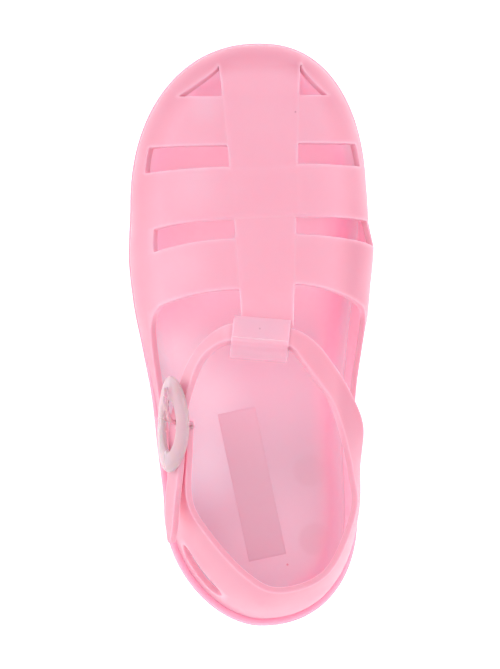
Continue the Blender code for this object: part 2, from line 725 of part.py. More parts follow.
def sole_levels():
    """The rings of the sole as functions of side and place."""

    def height(column, add=0.0):
        return lambda along: smooth(LEVELS, column, along) + add

    def between(share):
        return lambda along: mix(smooth(LEVELS, "floor", along), smooth(LEVELS, "rim", along), share)

    def above_footbed(share):
        return lambda along: mix(smooth(LEVELS, "footbed", along), smooth(LEVELS, "rim", along), share)

    def ring(inset, level):
        return lambda side, place: rim_point(side, place, inset, level)

    def ledge_ring(extra, level):
        return lambda side, place: rim_point(
            side, place, smooth(LEVELS, "ledge", outline(side, place).y) + extra, level
        )

    def toward_middle(inset, share, level):
        def point(side, place):
            plan = mix(rim_point(side, place, inset, level), middle_point(side, place, level), share)
            return Vector((plan.x, plan.y, level(plan.y)))

        return point

    inner = WALL + 0.8
    return [
        lambda side, place: middle_point(side, place, height("floor")),
        toward_middle(SOLE_EDGE, 0.7, height("floor")),
        toward_middle(SOLE_EDGE, 0.35, height("floor")),
        ring(SOLE_EDGE, height("floor")),
        ring(0.9, height("floor", 0.8)),
        ring(0.0, height("floor", 2.6)),
        ring(0.0, between(0.50)),
        ring(SOLE_STEP, between(0.56)),
        ring(SOLE_STEP, between(0.66)),
        ring(0.0, between(0.72)),
        ring(0.0, height("rim", -0.9)),
        ring(0.8, height("rim")),
        ledge_ring(inner, height("rim")),
        ledge_ring(inner + 2.6, above_footbed(0.45)),
        ledge_ring(inner + 7.0, height("footbed", 0.9)),
        toward_middle(12.0, 0.35, height("footbed", 0.2)),
        lambda side, place: middle_point(side, place, height("footbed")),
    ]


def at_plan(loop, across, along):
    """A loop moved to a place of the sole's plan, about the origin of the part."""
    return [(x + across - BOX_MID_ACROSS, y + along - BOX_MID_ALONG) for x, y in loop]


def build_sole(parts, helpers):
    sole = new_object("outsole", sole_loft(), parts)
    loops = []
    for lug in LUGS:
        for radius in (LUG_RING_OUTER, LUG_RING_INNER):
            loops.append(at_plan(ellipse(2 * radius, 2 * radius, RING_SEGMENTS), lug.across, lug.along))
    for along in FLEX_GROOVES:
        bar = rounded_box(2 * FLEX_REACH, FLEX_WIDTH, FLEX_WIDTH / 2 - 0.05)
        loops.append(at_plan(bar, 0.0, along))
    grooves = flat_solid("grooves", loops, -2.0, GROOVE_DEPTH, Matrix.Identity(4), helpers)
    hide(grooves)
    boolean(sole, grooves, "DIFFERENCE")
    finish(sole, (0.90, 0.40, 0.52), 0.4, 0.8)
    return sole


def main():
    for old in list(bpy.data.objects):
        bpy.data.objects.remove(old)
    parts = bpy.data.collections.new("sandal")
    helpers = bpy.data.collections.new("helpers")
    bpy.context.scene.collection.children.link(parts)
    bpy.context.scene.collection.children.link(helpers)
    build_sole(parts, helpers)
    build_upper(parts, helpers)
    build_buckle(parts, helpers)


main()
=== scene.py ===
"""Looks of a moulded, see-through pink sandal for the water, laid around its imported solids.

Sizes are millimetres until to_frame() turns them into metres. "Along" runs from the back of the heel to the
toe tip, "across" is negative on the lateral side (the buckle's side) and positive on the medial side, and
"height" is from the floor.
"""

from __future__ import annotations

import json
import logging
import math
from collections.abc import Callable, Iterable, Sequence
from dataclasses import dataclass
from enum import Enum
from functools import lru_cache, partial
from typing import NamedTuple, TypeVar

import bmesh
import bpy
from mathutils import Matrix, Vector, kdtree

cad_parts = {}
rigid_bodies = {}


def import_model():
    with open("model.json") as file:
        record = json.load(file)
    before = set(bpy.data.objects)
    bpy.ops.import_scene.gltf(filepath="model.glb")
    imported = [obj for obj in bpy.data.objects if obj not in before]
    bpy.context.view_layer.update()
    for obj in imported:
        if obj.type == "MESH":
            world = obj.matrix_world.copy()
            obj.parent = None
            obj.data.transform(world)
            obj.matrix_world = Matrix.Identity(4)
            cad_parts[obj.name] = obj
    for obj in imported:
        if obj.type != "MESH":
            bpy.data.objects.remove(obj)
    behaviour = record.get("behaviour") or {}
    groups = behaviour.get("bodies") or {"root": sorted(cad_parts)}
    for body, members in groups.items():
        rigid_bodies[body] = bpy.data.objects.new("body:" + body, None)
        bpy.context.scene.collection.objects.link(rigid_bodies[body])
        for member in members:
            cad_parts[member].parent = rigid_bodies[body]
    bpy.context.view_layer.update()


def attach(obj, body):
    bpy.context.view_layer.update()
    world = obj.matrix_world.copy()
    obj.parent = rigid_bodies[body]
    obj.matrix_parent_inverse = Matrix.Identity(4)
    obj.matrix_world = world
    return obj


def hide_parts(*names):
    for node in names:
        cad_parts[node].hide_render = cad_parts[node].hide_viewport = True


LOG = logging.getLogger("sandal")
MM = 0.001
BODY = "root"
BOX_MID_ACROSS = 0.88
BOX_MID_ALONG = 108.0
IMAGE_WIDTH = 500
IMAGE_HEIGHT = 669
MM_PER_PIXEL = 0.371
SAME_PLACE = 1e-6
SEAM_REACH = 0.02
ROD_REACH = 0.001
ROD_ROUNDING = 5
ROUND_SEGMENTS = 3
SEARCH_TURNS = 30
CLOUD_SCALE = 55.0
CLOUD_DETAIL = 3.0
CLOUD_RANGE = (0.32, 0.68)
SKIN_SCALE = 420.0
SKIN_DETAIL = 2.0
NO_LIGHT = (0.0, 0.0, 0.0)
WHITE = (1.0, 1.0, 1.0, 1.0)
IN_PLAN = (1.0, 1.0, 0.0)

Value = TypeVar("Value", float, Vector)
Place = tuple[float, float, float]
Colour = tuple[float, float, float]
PatchPoint = Callable[[float, float], Vector]
HeightAt = Callable[[float], float]
Inputs = dict[str | int, object]


class Side(Enum):
    """A side of the left shoe; the value is the sign of "across" there."""

    LATERAL = -1
    MEDIAL = 1


class Boolean(Enum):
    """What becomes of the other solid where two meet."""

    ADD = "UNION"
    CUT = "DIFFERENCE"


class Parts(Enum):
    """Parts of a mesh that are selected in edit mode."""

    FACES = "FACE"
    EDGES = "EDGE"


class Region(Enum):
    """Attributes of a skin that its material reads.

    DEEP is deeper pink: thicker plastic, and painted shade on the upper's low walls and the sole's sides; on
    the buckle's bar it is a pinker tint painted against the bar's shade.
    INNER is the inside of the upper's walls, painted light with a painted glow, and the panel on the footbed.
    EDGE is the painted highlight line along the upper's edges and the painted shade along the medial border
    of the footbed.
    """

    DEEP = "deep"
    INNER = "inner"
    EDGE = "edge"


RingPoint = Callable[[Side, float], Vector]


class Waist(NamedTuple):
    """Half widths of the sole at a distance along it."""

    along: float
    lateral: float
    medial: float


class Level(NamedTuple):
    """Heights of the sole at a distance along it, and the ledge that it leaves outside the upper."""

    along: float
    floor: float
    footbed: float
    rim: float
    ledge: float


class Edge(NamedTuple):
    """Edge of a cross strap: its ends on rim and spine, the band under the gaps and the swell of the wall."""

    rim_lateral: float
    spine_lateral: float
    spine_medial: float
    rim_medial: float
    band_lateral: float
    band_medial: float
    swell_lateral: float
    swell_medial: float


class Ridge(NamedTuple):
    """Height of the spine at a distance along the shoe."""

    along: float
    height: float


class Post(NamedTuple):
    """A post of the heel counter: where it stands on the rim, the collar above it and its swell."""

    side: Side
    rim_along: float
    across: float
    along: float
    height: float
    swell: float


class Strap(NamedTuple):
    """Upper and lower edge of the ankle strap at one place of its run."""

    upper: Place
    lower: Place


class Lug(NamedTuple):
    """Middle of a ring lug under the sole."""

    across: float
    along: float


class Ring(NamedTuple):
    """A ring of the sole's skin: its inset and its height, each in mm or as a share."""

    inset: float
    height: float


class Mark(NamedTuple):
    """A round mark in plan: a real speck, a painted highlight, or painted shade, as of a lug seen through the
    footbed.
    """

    across: float
    along: float
    inner: float
    outer: float
    strength: float
    colour: Colour


def to_frame(point: Vector) -> Vector:
    """A point in mm (across, along, height) as metres about the origin of the part."""
    return Vector(((point[0] - BOX_MID_ACROSS) * MM, (point[1] - BOX_MID_ALONG) * MM, point[2] * MM))


def mix(a: Value, b: Value, share: float) -> Value:
    """The value at a share of the way from a to b, numbers or vectors."""
    return a + (b - a) * share


def ease(value: float) -> float:
    """A soft step: 0 up to 0, 1 from 1 on, with no kink between."""
    value = min(max(value, 0.0), 1.0)
    return value * value * (3 - 2 * value)


def smooth(table: Sequence[NamedTuple], column: str, along: float) -> float:
    """A column of a table between its rows, on a curve that never swings past a row.

    Args:
        table: Rows in order of their column "along".
        column: Name of the column to read.
        along: Distance along the shoe in mm.

    Returns:
        The column's value there.
    """
    keys = [row.along for row in table]
    values = [getattr(row, column) for row in table]
    if along <= keys[0]:
        return values[0]
    if along >= keys[-1]:
        return values[-1]
    rises = [(values[i + 1] - values[i]) / (keys[i + 1] - keys[i]) for i in range(len(keys) - 1)]
    slopes = [0.0]
    for before, after in zip(rises, rises[1:]):
        slopes.append(2 * before * after / (before + after) if before * after > 0 else 0.0)
    slopes.append(0.0)
    i = max(k for k in range(len(keys) - 1) if keys[k] <= along)
    width = keys[i + 1] - keys[i]
    t = (along - keys[i]) / width
    return (
        values[i] * (1 + 2 * t) * (1 - t) ** 2
        + slopes[i] * width * t * (1 - t) ** 2
        + values[i + 1] * t * t * (3 - 2 * t)
        + slopes[i + 1] * width * t * t * (t - 1)
    )


def through(points: Sequence[Vector], place: float) -> Vector:
    """A point on the smooth curve through points.

    Args:
        points: Points that the curve passes.
        place: 0 at the first point and len(points) - 1 at the last.

    Returns:
        The point of the curve at that place.
    """
    i = min(int(place), len(points) - 2)
    t = place - i
    b, c = points[i], points[i + 1]
    a = points[i - 1] if i else b * 2 - c
    d = points[i + 2] if i + 2 < len(points) else c * 2 - b
    return 0.5 * (2 * b + (c - a) * t + (2 * a - 5 * b + 4 * c - d) * t**2 + (3 * b - a - 3 * c + d) * t**3)


def local_frame(middle: Vector, ahead: Vector, up: Vector) -> Matrix:
    """Frame of a small piece in metres: x ahead, y up, z out.

    Args:
        middle: Middle of the piece in mm of the shoe.
        ahead: Direction of its x axis.
        up: Direction near its y axis.

    Returns:
        The matrix from the piece's own metres to the part's.
    """
    x = ahead.normalized()
    z = x.cross(up).normalized()
    y = z.cross(x)
    return Matrix.Translation(to_frame(middle)) @ Matrix((x, y, z)).transposed().to_4x4()


def deselect() -> None:
    """Leaves nothing selected and no object active."""
    if bpy.context.object and bpy.context.object.mode != "OBJECT":
        bpy.ops.object.mode_set(mode="OBJECT")
    for each in bpy.context.view_layer.objects:
        each.select_set(False)
    bpy.context.view_layer.objects.active = None


def activate(*pieces: bpy.types.Object) -> None:
    """Selects these objects alone and makes the first one active.

    Args:
        pieces: The objects to select.
    """
    deselect()
    for piece in pieces:
        piece.select_set(True)
    bpy.context.view_layer.objects.active = pieces[0]


def grid_patch(name: str, columns: int, rows: int, point: PatchPoint) -> bpy.types.Object:
    """A grid primitive laid on a surface.

    Args:
        name: Name of the new object.
        columns: Faces along u.
        rows: Faces along v.
        point: The surface in mm of the shoe, for u and v from 0 to 1.

    Returns:
        The new object.
    """
    deselect()
    bpy.ops.mesh.primitive_grid_add(x_subdivisions=columns, y_subdivisions=rows, size=1.0)
    patch = bpy.context.object
    patch.name = name
    for vert in patch.data.vertices:
        vert.co = to_frame(point(vert.co.x + 0.5, vert.co.y + 0.5))
    return patch


def join(name: str, pieces: Sequence[bpy.types.Object]) -> bpy.types.Object:
    """Joins objects into one and names it.

    Args:
        name: Name of the whole.
        pieces: The objects to join.

    Returns:
        The whole.
    """
    activate(*pieces)
    bpy.ops.object.join()
    whole = bpy.context.object
    whole.name = name
    whole.data.name = name
    return whole


def merge(piece: bpy.types.Object, reach: float) -> None:
    """Merges close points and turns all faces the same way, outwards.

    Args:
        piece: The object.
        reach: Distance in mm below which points become one.
    """
    activate(piece)
    bpy.ops.object.mode_set(mode="EDIT")
    bpy.ops.mesh.select_all(action="SELECT")
    bpy.ops.mesh.remove_doubles(threshold=reach * MM)
    bpy.ops.mesh.dissolve_degenerate(threshold=reach * MM)
    bpy.ops.mesh.select_all(action="SELECT")
    bpy.ops.mesh.normals_make_consistent(inside=False)
    bpy.ops.object.mode_set(mode="OBJECT")


def select_parts(piece: bpy.types.Object, kind: Parts, test: Callable[..., bool]) -> None:
    """In edit mode, selects the faces or edges that pass a test.

    Args:
        piece: The object in edit mode.
        kind: Faces or edges.
        test: Takes a bmesh face or edge and says whether it is selected.
    """
    bpy.ops.mesh.select_mode(type=kind.value)
    bpy.ops.mesh.select_all(action="DESELECT")
    bm = bmesh.from_edit_mesh(piece.data)
    for part in bm.faces if kind is Parts.FACES else bm.edges:
        part.select_set(test(part))
    bmesh.update_edit_mesh(piece.data)


def apply_modifier(piece: bpy.types.Object, kind: str, **settings: object) -> None:
    """Adds a modifier with these settings and applies it.

    Args:
        piece: The object that gets it.
        kind: Blender's name of the modifier's type.
        settings: Attributes of the modifier.
    """
    activate(piece)
    modifier = piece.modifiers.new(kind.lower(), kind)
    for name, value in settings.items():
        setattr(modifier, name, value)
    bpy.ops.object.modifier_apply(modifier=modifier.name)


def combine(piece: bpy.types.Object, other: bpy.types.Object, operation: Boolean) -> None:
    """Joins another solid to a piece, or cuts it away, and removes the other."""
    apply_modifier(piece, "BOOLEAN", operation=operation.value, solver="MANIFOLD", object=other)
    bpy.data.objects.remove(other)


def soften(piece: bpy.types.Object, width: float, segments: int, above: float) -> None:
    """Rounds off the edges of a piece where its faces turn by more than an angle.

    Args:
        piece: The object.
        width: Width of the rounding in mm.
        segments: Faces across the rounding.
        above: The angle in degrees.
    """
    apply_modifier(
        piece,
        "BEVEL",
        width=width * MM,
        segments=segments,
        limit_method="ANGLE",
        angle_limit=math.radians(above),
        use_clamp_overlap=False,
    )


def shade(piece: bpy.types.Object, crease: float) -> None:
    """Shades a piece smoothly, but for edges that turn by more than an angle in degrees."""
    activate(piece)
    bpy.ops.object.shade_smooth_by_angle(angle=math.radians(crease))


def settle(piece: bpy.types.Object, matrix: Matrix) -> None:
    """Lays a piece that was modelled about its own middle in place and applies that place to its mesh.

    Args:
        piece: The object.
        matrix: From the piece's own metres to the part's.
    """
    activate(piece)
    piece.matrix_world = matrix @ piece.matrix_world
    bpy.ops.object.transform_apply(location=True, rotation=True, scale=True)


def copy_to(piece: bpy.types.Object, place: Vector) -> bpy.types.Object:
    """Copies a piece that was modelled about its own middle, with a mesh of its own.

    Args:
        piece: The object to copy.
        place: Where the copy goes, in mm of the shoe.

    Returns:
        The copy.
    """
    made = piece.copy()
    made.data = piece.data.copy()
    bpy.context.scene.collection.objects.link(made)
    settle(made, Matrix.Translation(to_frame(place)))
    return made


def tube(name: str, path: Sequence[Place], radius: float) -> bpy.types.Object:
    """A round rod along a path, as a closed mesh.

    Args:
        name: Name of the new object.
        path: Points of its middle line in mm of a local frame.
        radius: Radius in mm.

    Returns:
        The rod.
    """
    deselect()
    curve = bpy.data.curves.new(name, "CURVE")
    curve.dimensions = "3D"
    curve.bevel_depth = radius * MM
    curve.bevel_resolution = ROD_ROUNDING
    curve.use_fill_caps = True
    spline = curve.splines.new("POLY")
    spline.points.add(len(path) - 1)
    for point, place in zip(spline.points, path):
        point.co = (*(value * MM for value in place), 1.0)
    drawn = bpy.data.objects.new(name, curve)
    bpy.context.scene.collection.objects.link(drawn)
    activate(drawn)
    bpy.ops.object.convert(target="MESH")
    made = bpy.context.object
    merge(made, ROD_REACH)
    return made


def rounded_path(points: Sequence[Place], radius: float, steps: int = 6) -> list[Place]:
    """A path with its inner corners rounded off.

    Args:
        points: Corners of the path in mm.
        radius: How far before and after a corner the bend runs.
        steps: Points laid in each bend.

    Returns:
        The points of the rounded path.
    """
    corners = [Vector(point) for point in points]
    path = [tuple(corners[0])]
    for before, corner, after in zip(corners, corners[1:], corners[2:]):
        start = corner + (before - corner).normalized() * min(radius, (before - corner).length / 2)
        end = corner + (after - corner).normalized() * min(radius, (after - corner).length / 2)
        for k in range(steps + 1):
            t = k / steps
            path.append(tuple(start * (1 - t) ** 2 + corner * 2 * t * (1 - t) + end * t * t))
    path.append(tuple(corners[-1]))
    return path


def store(piece: bpy.types.Object, region: Region, values: Sequence[float]) -> None:
    """Keeps a value for every point of a piece, for its material."""
    piece.data.attributes.new(region.value, "FLOAT", "POINT").data.foreach_set("value", values)


def nearest(points: Sequence[Vector]) -> Callable[[Vector], tuple[Vector, int, float]]:
    """A function that finds the nearest of some points.

    Args:
        points: The points to search.

    Returns:
        A function from a place to the nearest point, its number and its distance.
    """
    tree = kdtree.KDTree(len(points))
    for i, point in enumerate(points):
        tree.insert(point, i)
    tree.balance()
    return tree.find


@dataclass(frozen=True)
class Last:
    """Plan and side view that the sole and the upper share."""

    length: float = 216.0
    heel_round_ends: float = 42.0
    toe_round_starts: float = 155.8
    heel_tip_across: float = 4.6
    toe_tip_across: float = 4.1
    heel_fullness_lateral: float = 1.8
    heel_fullness_medial: float = 2.25
    toe_fullness_lateral: float = 2.15
    toe_fullness_medial: float = 2.3
    waist: tuple[Waist, ...] = (
        Waist(42.0, 31.0, 40.8),
        Waist(66.8, 33.6, 39.3),
        Waist(84.6, 35.6, 38.6),
        Waist(102.4, 39.0, 39.6),
        Waist(120.2, 42.5, 41.4),
        Waist(138.0, 44.2, 43.4),
        Waist(155.8, 43.6, 44.1),
    )
    levels: tuple[Level, ...] = (
        Level(0.0, 1.2, 12.5, 20.5, 2.6),
        Level(12.0, 0.0, 12.0, 20.0, 2.6),
        Level(58.0, 0.0, 11.0, 18.5, 2.2),
        Level(88.0, 3.0, 10.0, 17.0, 1.0),
        Level(116.0, 0.0, 7.5, 15.0, 0.5),
        Level(172.0, 0.0, 6.5, 13.5, 0.5),
        Level(196.0, 2.2, 8.2, 14.8, 0.5),
        Level(216.0, 7.0, 12.0, 17.8, 0.5),
    )
    edge_points: int = 300
    inward_step: float = 0.01

    def half_width(self, side: Side, row: Waist) -> float:
        """Signed half width of a row of the waist table."""
        return side.value * (row.lateral if side is Side.LATERAL else row.medial)

    def fullness(self, side: Side, end: str) -> float:
        """How square the heel or toe round is on a side."""
        return getattr(self, f"{end}_fullness_{side.name.lower()}")

    def outline(self, side: Side, place: float) -> Vector:
        """Plan point of the sole's edge.

        Args:
            side: Side of the shoe.
            place: 0 at the heel tip, 1 and 2 where the rounds end, 3 at the toe tip.

        Returns:
            The point as (across, along).
        """
        if place <= 1:
            turn, power = place * math.pi / 2, 2 / self.fullness(side, "heel")
            half = self.half_width(side, self.waist[0]) - self.heel_tip_across
            along = self.heel_round_ends * (1 - math.cos(turn) ** power)
            return Vector((self.heel_tip_across + half * math.sin(turn) ** power, along))
        if place < 2:
            along = mix(self.heel_round_ends, self.toe_round_starts, place - 1)
            return Vector((side.value * smooth(self.waist, side.name.lower(), along), along))
        turn, power = (3 - place) * math.pi / 2, 2 / self.fullness(side, "toe")
        half = self.half_width(side, self.waist[-1]) - self.toe_tip_across
        along = self.toe_round_starts + (self.length - self.toe_round_starts) * math.cos(turn) ** power
        return Vector((self.toe_tip_across + half * math.sin(turn) ** power, along))

    def place_at(self, side: Side, along: float) -> float:
        """The place of outline() that lies at a distance along the shoe.

        Args:
            side: Side of the shoe.
            along: Distance along the shoe in mm.

        Returns:
            The place, from 0 to 3.
        """
        if along < self.heel_round_ends:
            share = (1 - along / self.heel_round_ends) ** (self.fullness(side, "heel") / 2)
            return math.acos(share) * 2 / math.pi
        if along <= self.toe_round_starts:
            return 1 + (along - self.heel_round_ends) / (self.toe_round_starts - self.heel_round_ends)
        share = (along - self.toe_round_starts) / (self.length - self.toe_round_starts)
        return 3 - math.acos(share ** (self.fullness(side, "toe") / 2)) * 2 / math.pi

    def inward(self, side: Side, place: float) -> Vector:
        """Unit plan direction from the sole's edge towards the middle of the shoe.

        Args:
            side: Side of the shoe.
            place: Place of outline().

        Returns:
            The direction as (across, along).
        """
        step = self.inward_step
        ahead = self.outline(side, min(place + step, 3.0)) - self.outline(side, max(place - step, 0.0))
        ahead.normalize()
        return Vector((-ahead.y, ahead.x)) * side.value

    def level(self, column: str, along: float) -> float:
        """A column of the level table at a distance along the shoe."""
        return smooth(self.levels, column, along)

    def rim_point(self, side: Side, place: float, inset: float, height: HeightAt) -> Vector:
        """Point of the sole's side at an inset from its edge.

        Args:
            side: Side of the shoe.
            place: Place of outline().
            inset: Distance inside the edge in mm.
            height: Height at a distance along the shoe.

        Returns:
            The point in mm.
        """
        edge = self.outline(side, place)
        point = edge + self.inward(side, place) * inset
        return Vector((point.x, point.y, height(edge.y)))

    def edge_line(self) -> list[Vector]:
        """Points in plan along the sole's edge, in metres."""
        places = [3 * k / self.edge_points for k in range(self.edge_points + 1)]
        return [to_frame(Vector((*self.outline(side, place).xy, 0.0))) for side in Side for place in places]

    def middle_point(self, side: Side, place: float, height: HeightAt) -> Vector:
        """Point on the middle line of the sole that a place on its edge looks towards.

        Args:
            side: Side of the shoe.
            place: Place of outline().
            height: Height at a distance along the shoe.

        Returns:
            The point in mm.
        """
        along = min(max(self.outline(side, place).y, self.heel_round_ends), self.toe_round_starts)
        ends = [self.outline(each, self.place_at(each, along)).x for each in Side]
        return Vector((sum(ends) / 2, along, height(along)))


@dataclass(frozen=True)
class UpperMesh:
    """Faces laid along and across each patch of the upper."""

    spacing: float = 1.15
    least: int = 4
    toe: int = 34
    band: int = 6
    strap: int = 40
    spine: int = 26
    tail: int = 12
    arch: int = 42
    counter: int = 15
    over_window: int = 7
    collar: int = 10
    tab: int = 10
    ankle: int = 190


@dataclass(frozen=True)
class Upper:
    """The one-piece cage: toe band, spine, cross straps, heel counter, keeper and ankle strap."""

    last: Last
    mesh: UpperMesh = UpperMesh()
    # Wall and its edges
    wall: float = 2.4
    sink: float = 0.35
    edge_round: float = 0.35
    edge_angle: float = 70.0
    crease_angle: float = 40.0
    sharp_angle: float = 140.0
    rim_shares: tuple[float, ...] = (0.0, 0.33, 0.67)
    tight_reach: float = 1.0
    tight_turns: int = 1
    wide_turns: int = 60
    strap_corner_reach: float = 9.0
    post_corner_reach: float = 8.0
    window_corner_reach: float = 6.0
    # Painted highlight lines, deeper colour with painted shade, and the painted-light inside of the walls
    line_width: float = 0.5
    line_strength: float = 0.38
    line_points: int = 80
    top_facing: float = 0.5
    end_facing: float = 0.9
    deep_from: float = 2.0
    deep_to: float = 12.0
    strap_deep: float = 0.6
    strap_fade: float = 8.0
    keeper_fade: float = 4.0
    heel_deep: float = 0.4
    heel_deep_from: float = 60.0
    heel_deep_fade: float = 25.0
    inner_below: float = 60.0
    inner_front: float = 185.0
    inner_fade: float = 12.0
    foot_middle: float = 6.0
    foot_half: float = 20.0
    foot_fade: float = 8.0
    foot_back: float = 45.0
    foot_front: float = 170.0
    turned_from: float = 0.1
    turned_fade: float = 0.5
    level_from: float = 0.8
    level_fade: float = 0.4
    # Cage of straps
    rib_lateral: tuple[tuple[float, float], ...] = ((0.04, 0.45), (0.50, 0.98))
    rib_medial: tuple[tuple[float, float], ...] = ((0.00, 0.55), (0.35, 1.00))
    rib_toe: tuple[tuple[float, float], ...] = ((0.04, 0.42), (0.50, 0.78))
    edges: tuple[Edge, ...] = (
        Edge(213.2, 207.0, 207.6, 212.9, 4.8, 4.8, 0.0, 0.0),
        Edge(196.4, 195.8, 196.2, 197.0, 6.4, 5.4, 0.2, 0.2),
        Edge(176.8, 177.8, 178.6, 178.3, 4.2, 2.2, 0.4, 0.6),
        Edge(166.5, 169.3, 170.5, 169.6, 4.6, 2.0, 0.4, 0.8),
        Edge(142.0, 150.7, 151.7, 148.8, 9.0, 1.8, 0.4, 2.6),
        Edge(132.5, 143.1, 144.7, 138.2, 9.0, 1.8, 0.4, 5.6),
        Edge(112.0, 124.6, 126.5, 108.5, 4.0, 1.4, 0.0, 6.6),
    )
    straps: tuple[int, ...] = (1, 3, 5)
    toe_hole_bow: float = 0.85
    # Spine
    spine_front: float = 210.0
    spine_back: float = 112.0
    spine_lateral: tuple[float, float] = (-10.9, -2.0)
    spine_medial: tuple[float, float] = (19.4, 16.8)
    spine_bow_lateral: float = 0.7
    spine_bow_medial: float = 0.0
    spine_crown: float = 1.0
    spine_drop_lateral: float = 0.9
    spine_drop_medial: float = 0.5
    spine_end_lateral: float = 111.5
    spine_end_medial: float = 110.3
    spine_proud: float = 0.4
    spine_step: float = 1.6
    spine_columns: tuple[float, ...] = (0.0, 0.4, 0.8, 1.2, 1.6)
    gap_ramp: float = 1.2
    over_strap: int = 3
    over_proud: float = 0.3
    over_step: float = 0.8
    ridge: tuple[Ridge, ...] = (
        Ridge(112.0, 60.3),
        Ridge(125.0, 55.5),
        Ridge(145.0, 49.0),
        Ridge(165.0, 42.5),
        Ridge(180.0, 37.5),
        Ridge(197.0, 31.0),
        Ridge(210.0, 25.5),
    )
    # Heel counter, buckle tab and ankle strap
    posts: tuple[Post, ...] = (
        Post(Side.LATERAL, 64.0, -21.2, 66.0, 50.5, 1.0),
        Post(Side.LATERAL, 47.0, -21.4, 47.5, 50.5, 1.4),
        Post(Side.LATERAL, 29.5, -15.4, 35.8, 52.0, 1.6),
        Post(Side.LATERAL, 6.3, -1.0, 19.8, 55.0, 1.9),
        Post(Side.MEDIAL, 0.0, 12.0, 13.7, 57.0, 2.2),
        Post(Side.MEDIAL, 9.0, 29.3, 20.8, 55.0, 2.0),
        Post(Side.MEDIAL, 40.0, 39.0, 43.0, 51.5, 1.8),
        Post(Side.MEDIAL, 60.0, 37.6, 59.5, 51.4, 3.6),
    )
    windows: tuple[int, ...] = (2, 5)
    window_share: float = 0.42
    low_wall_share: float = 0.18
    arch_bow: float = 2.5
    collar_band_share: float = 0.63
    tab_end_upper: Place = (-20.7, 76.0, 54.0)
    tab_end_lower: Place = (-24.7, 76.0, 44.0)
    ankle: tuple[Strap, ...] = (
        Strap((34.6, 72.0, 55.8), (42.0, 74.5, 45.8)),
        Strap((30.6, 83.0, 60.3), (37.4, 86.5, 52.0)),
        Strap((25.2, 91.0, 64.0), (31.5, 96.2, 57.0)),
        Strap((20.0, 97.8, 66.6), (25.0, 104.4, 60.2)),
        Strap((14.8, 103.2, 68.0), (17.0, 109.3, 61.8)),
        Strap((4.2, 104.3, 68.1), (5.5, 110.4, 61.8)),
        Strap((-6.5, 105.0, 67.6), (-6.0, 111.2, 61.2)),
        Strap((-11.9, 103.0, 65.8), (-14.6, 106.3, 57.6)),
        Strap((-17.2, 97.5, 62.6), (-20.6, 98.2, 53.6)),
        Strap((-21.0, 87.5, 59.0), (-24.8, 88.0, 49.6)),
        Strap((-23.8, 75.0, 55.0), (-27.8, 75.0, 45.4)),
        Strap((-24.4, 60.0, 52.1), (-28.2, 60.0, 42.9)),
        Strap((-25.9, 46.0, 50.0), (-29.5, 46.0, 41.0)),
        Strap((-26.9, 35.0, 47.8), (-29.1, 35.0, 41.0)),
        Strap((-27.7, 31.0, 45.4), (-28.5, 31.0, 43.0)),
    )
    # Keeper
    keeper_row: int = 5
    keeper_across: float = 4.0
    keeper_along: float = 114.0
    keeper_length: float = 21.2
    keeper_width: float = 16.2
    keeper_thick: float = 7.0
    keeper_wall: float = 1.7
    keeper_shift: float = 1.4
    keeper_round: float = 0.9
    keeper_segments: int = 8
    keeper_soften: float = 0.4
    keeper_soften_angle: float = 30.0
    keeper_roll_round: float = 2.4
    keeper_roll_from: float = 3.9
    keeper_roll_proud: float = 0.45

    def by_side(self, stem: str, side: Side) -> float | tuple:
        """The field that belongs to a side."""
        return getattr(self, f"{stem}_{side.name.lower()}")

    def base(self, side: Side, place: float) -> Vector:
        """Foot of the middle surface of the wall, sunk a little into the sole's rim so that no gap shows.

        Args:
            side: Side of the shoe.
            place: Place of the last's outline.

        Returns:
            The point in mm.
        """

        def height(along: float) -> float:
            """The foot's height at a distance along the shoe."""
            return self.last.level("rim", along) - self.sink

        inset = self.last.level("ledge", self.last.outline(side, place).y) + self.wall / 2
        return self.last.rim_point(side, place, inset, height)

    def rib_share(self, side: Side, t: float, step: float = 1.0) -> tuple[float, float]:
        """How far in and up a wall has come between its foot and the spine.

        Args:
            side: Side of the shoe.
            t: 0 at the foot, 1 at the spine.
            step: 0 at the toe, 1 from the first strap on.

        Returns:
            The share of the way in and the share of the height.
        """
        handles = zip(self.rib_toe, self.by_side("rib", side))
        one, two = ([mix(a, b, min(step, 1.0)) for a, b in zip(*pair)] for pair in handles)
        inset, rise = (3 * t * (1 - t) ** 2 * one[i] + 3 * t**2 * (1 - t) * two[i] + t**3 for i in (0, 1))
        return inset, rise

    def edge_value(self, stem: str, side: Side, step: float) -> float:
        """A column of the strap table between its rows.

        Args:
            stem: Name of the column without its side.
            side: Side of the shoe.
            step: Row of the table, or a place between two.

        Returns:
            The value there.
        """
        column = f"{stem}_{side.name.lower()}"
        i = min(int(step), len(self.edges) - 2)
        return mix(getattr(self.edges[i], column), getattr(self.edges[i + 1], column), step - i)

    def spine_edge(self, side: Side, along: float) -> Vector:
        """Edge of the spine, on the middle surface of the upper.

        Args:
            side: Side of the shoe.
            along: Distance along the shoe in mm.

        Returns:
            The point in mm.
        """
        front, back = self.by_side("spine", side)
        share = (along - self.spine_back) / (self.spine_front - self.spine_back)
        across = mix(back, front, share) + self.by_side("spine_bow", side) * 4 * share * (1 - share)
        return Vector((across, along, smooth(self.ridge, "height", along) - self.by_side("spine_drop", side)))

    def strap_ends(self, step: float) -> list[Vector]:
        """The spine's lateral and medial edge at a step of the strap table."""
        return [self.spine_edge(side, self.edge_value("spine", side, step)) for side in Side]

    def inside(self, step: float, first: int) -> float:
        """How far a step lies inside a row of the strap table and the next one.

        Args:
            step: Row of the table, or a place between two.
            first: The row in front.

        Returns:
            The distance in mm along the spine, below 0 outside.
        """
        rows = self.edges[first], self.edges[first + 1]
        width = rows[0].spine_medial - rows[1].spine_medial
        return min(step - first, first + 1 - step) * width

    def over(self, step: float) -> float:
        """How far the middle strap lies over the spine at a step: 1 on it, 0 before and behind it."""
        return ease(self.inside(step, self.over_strap) / self.over_step)

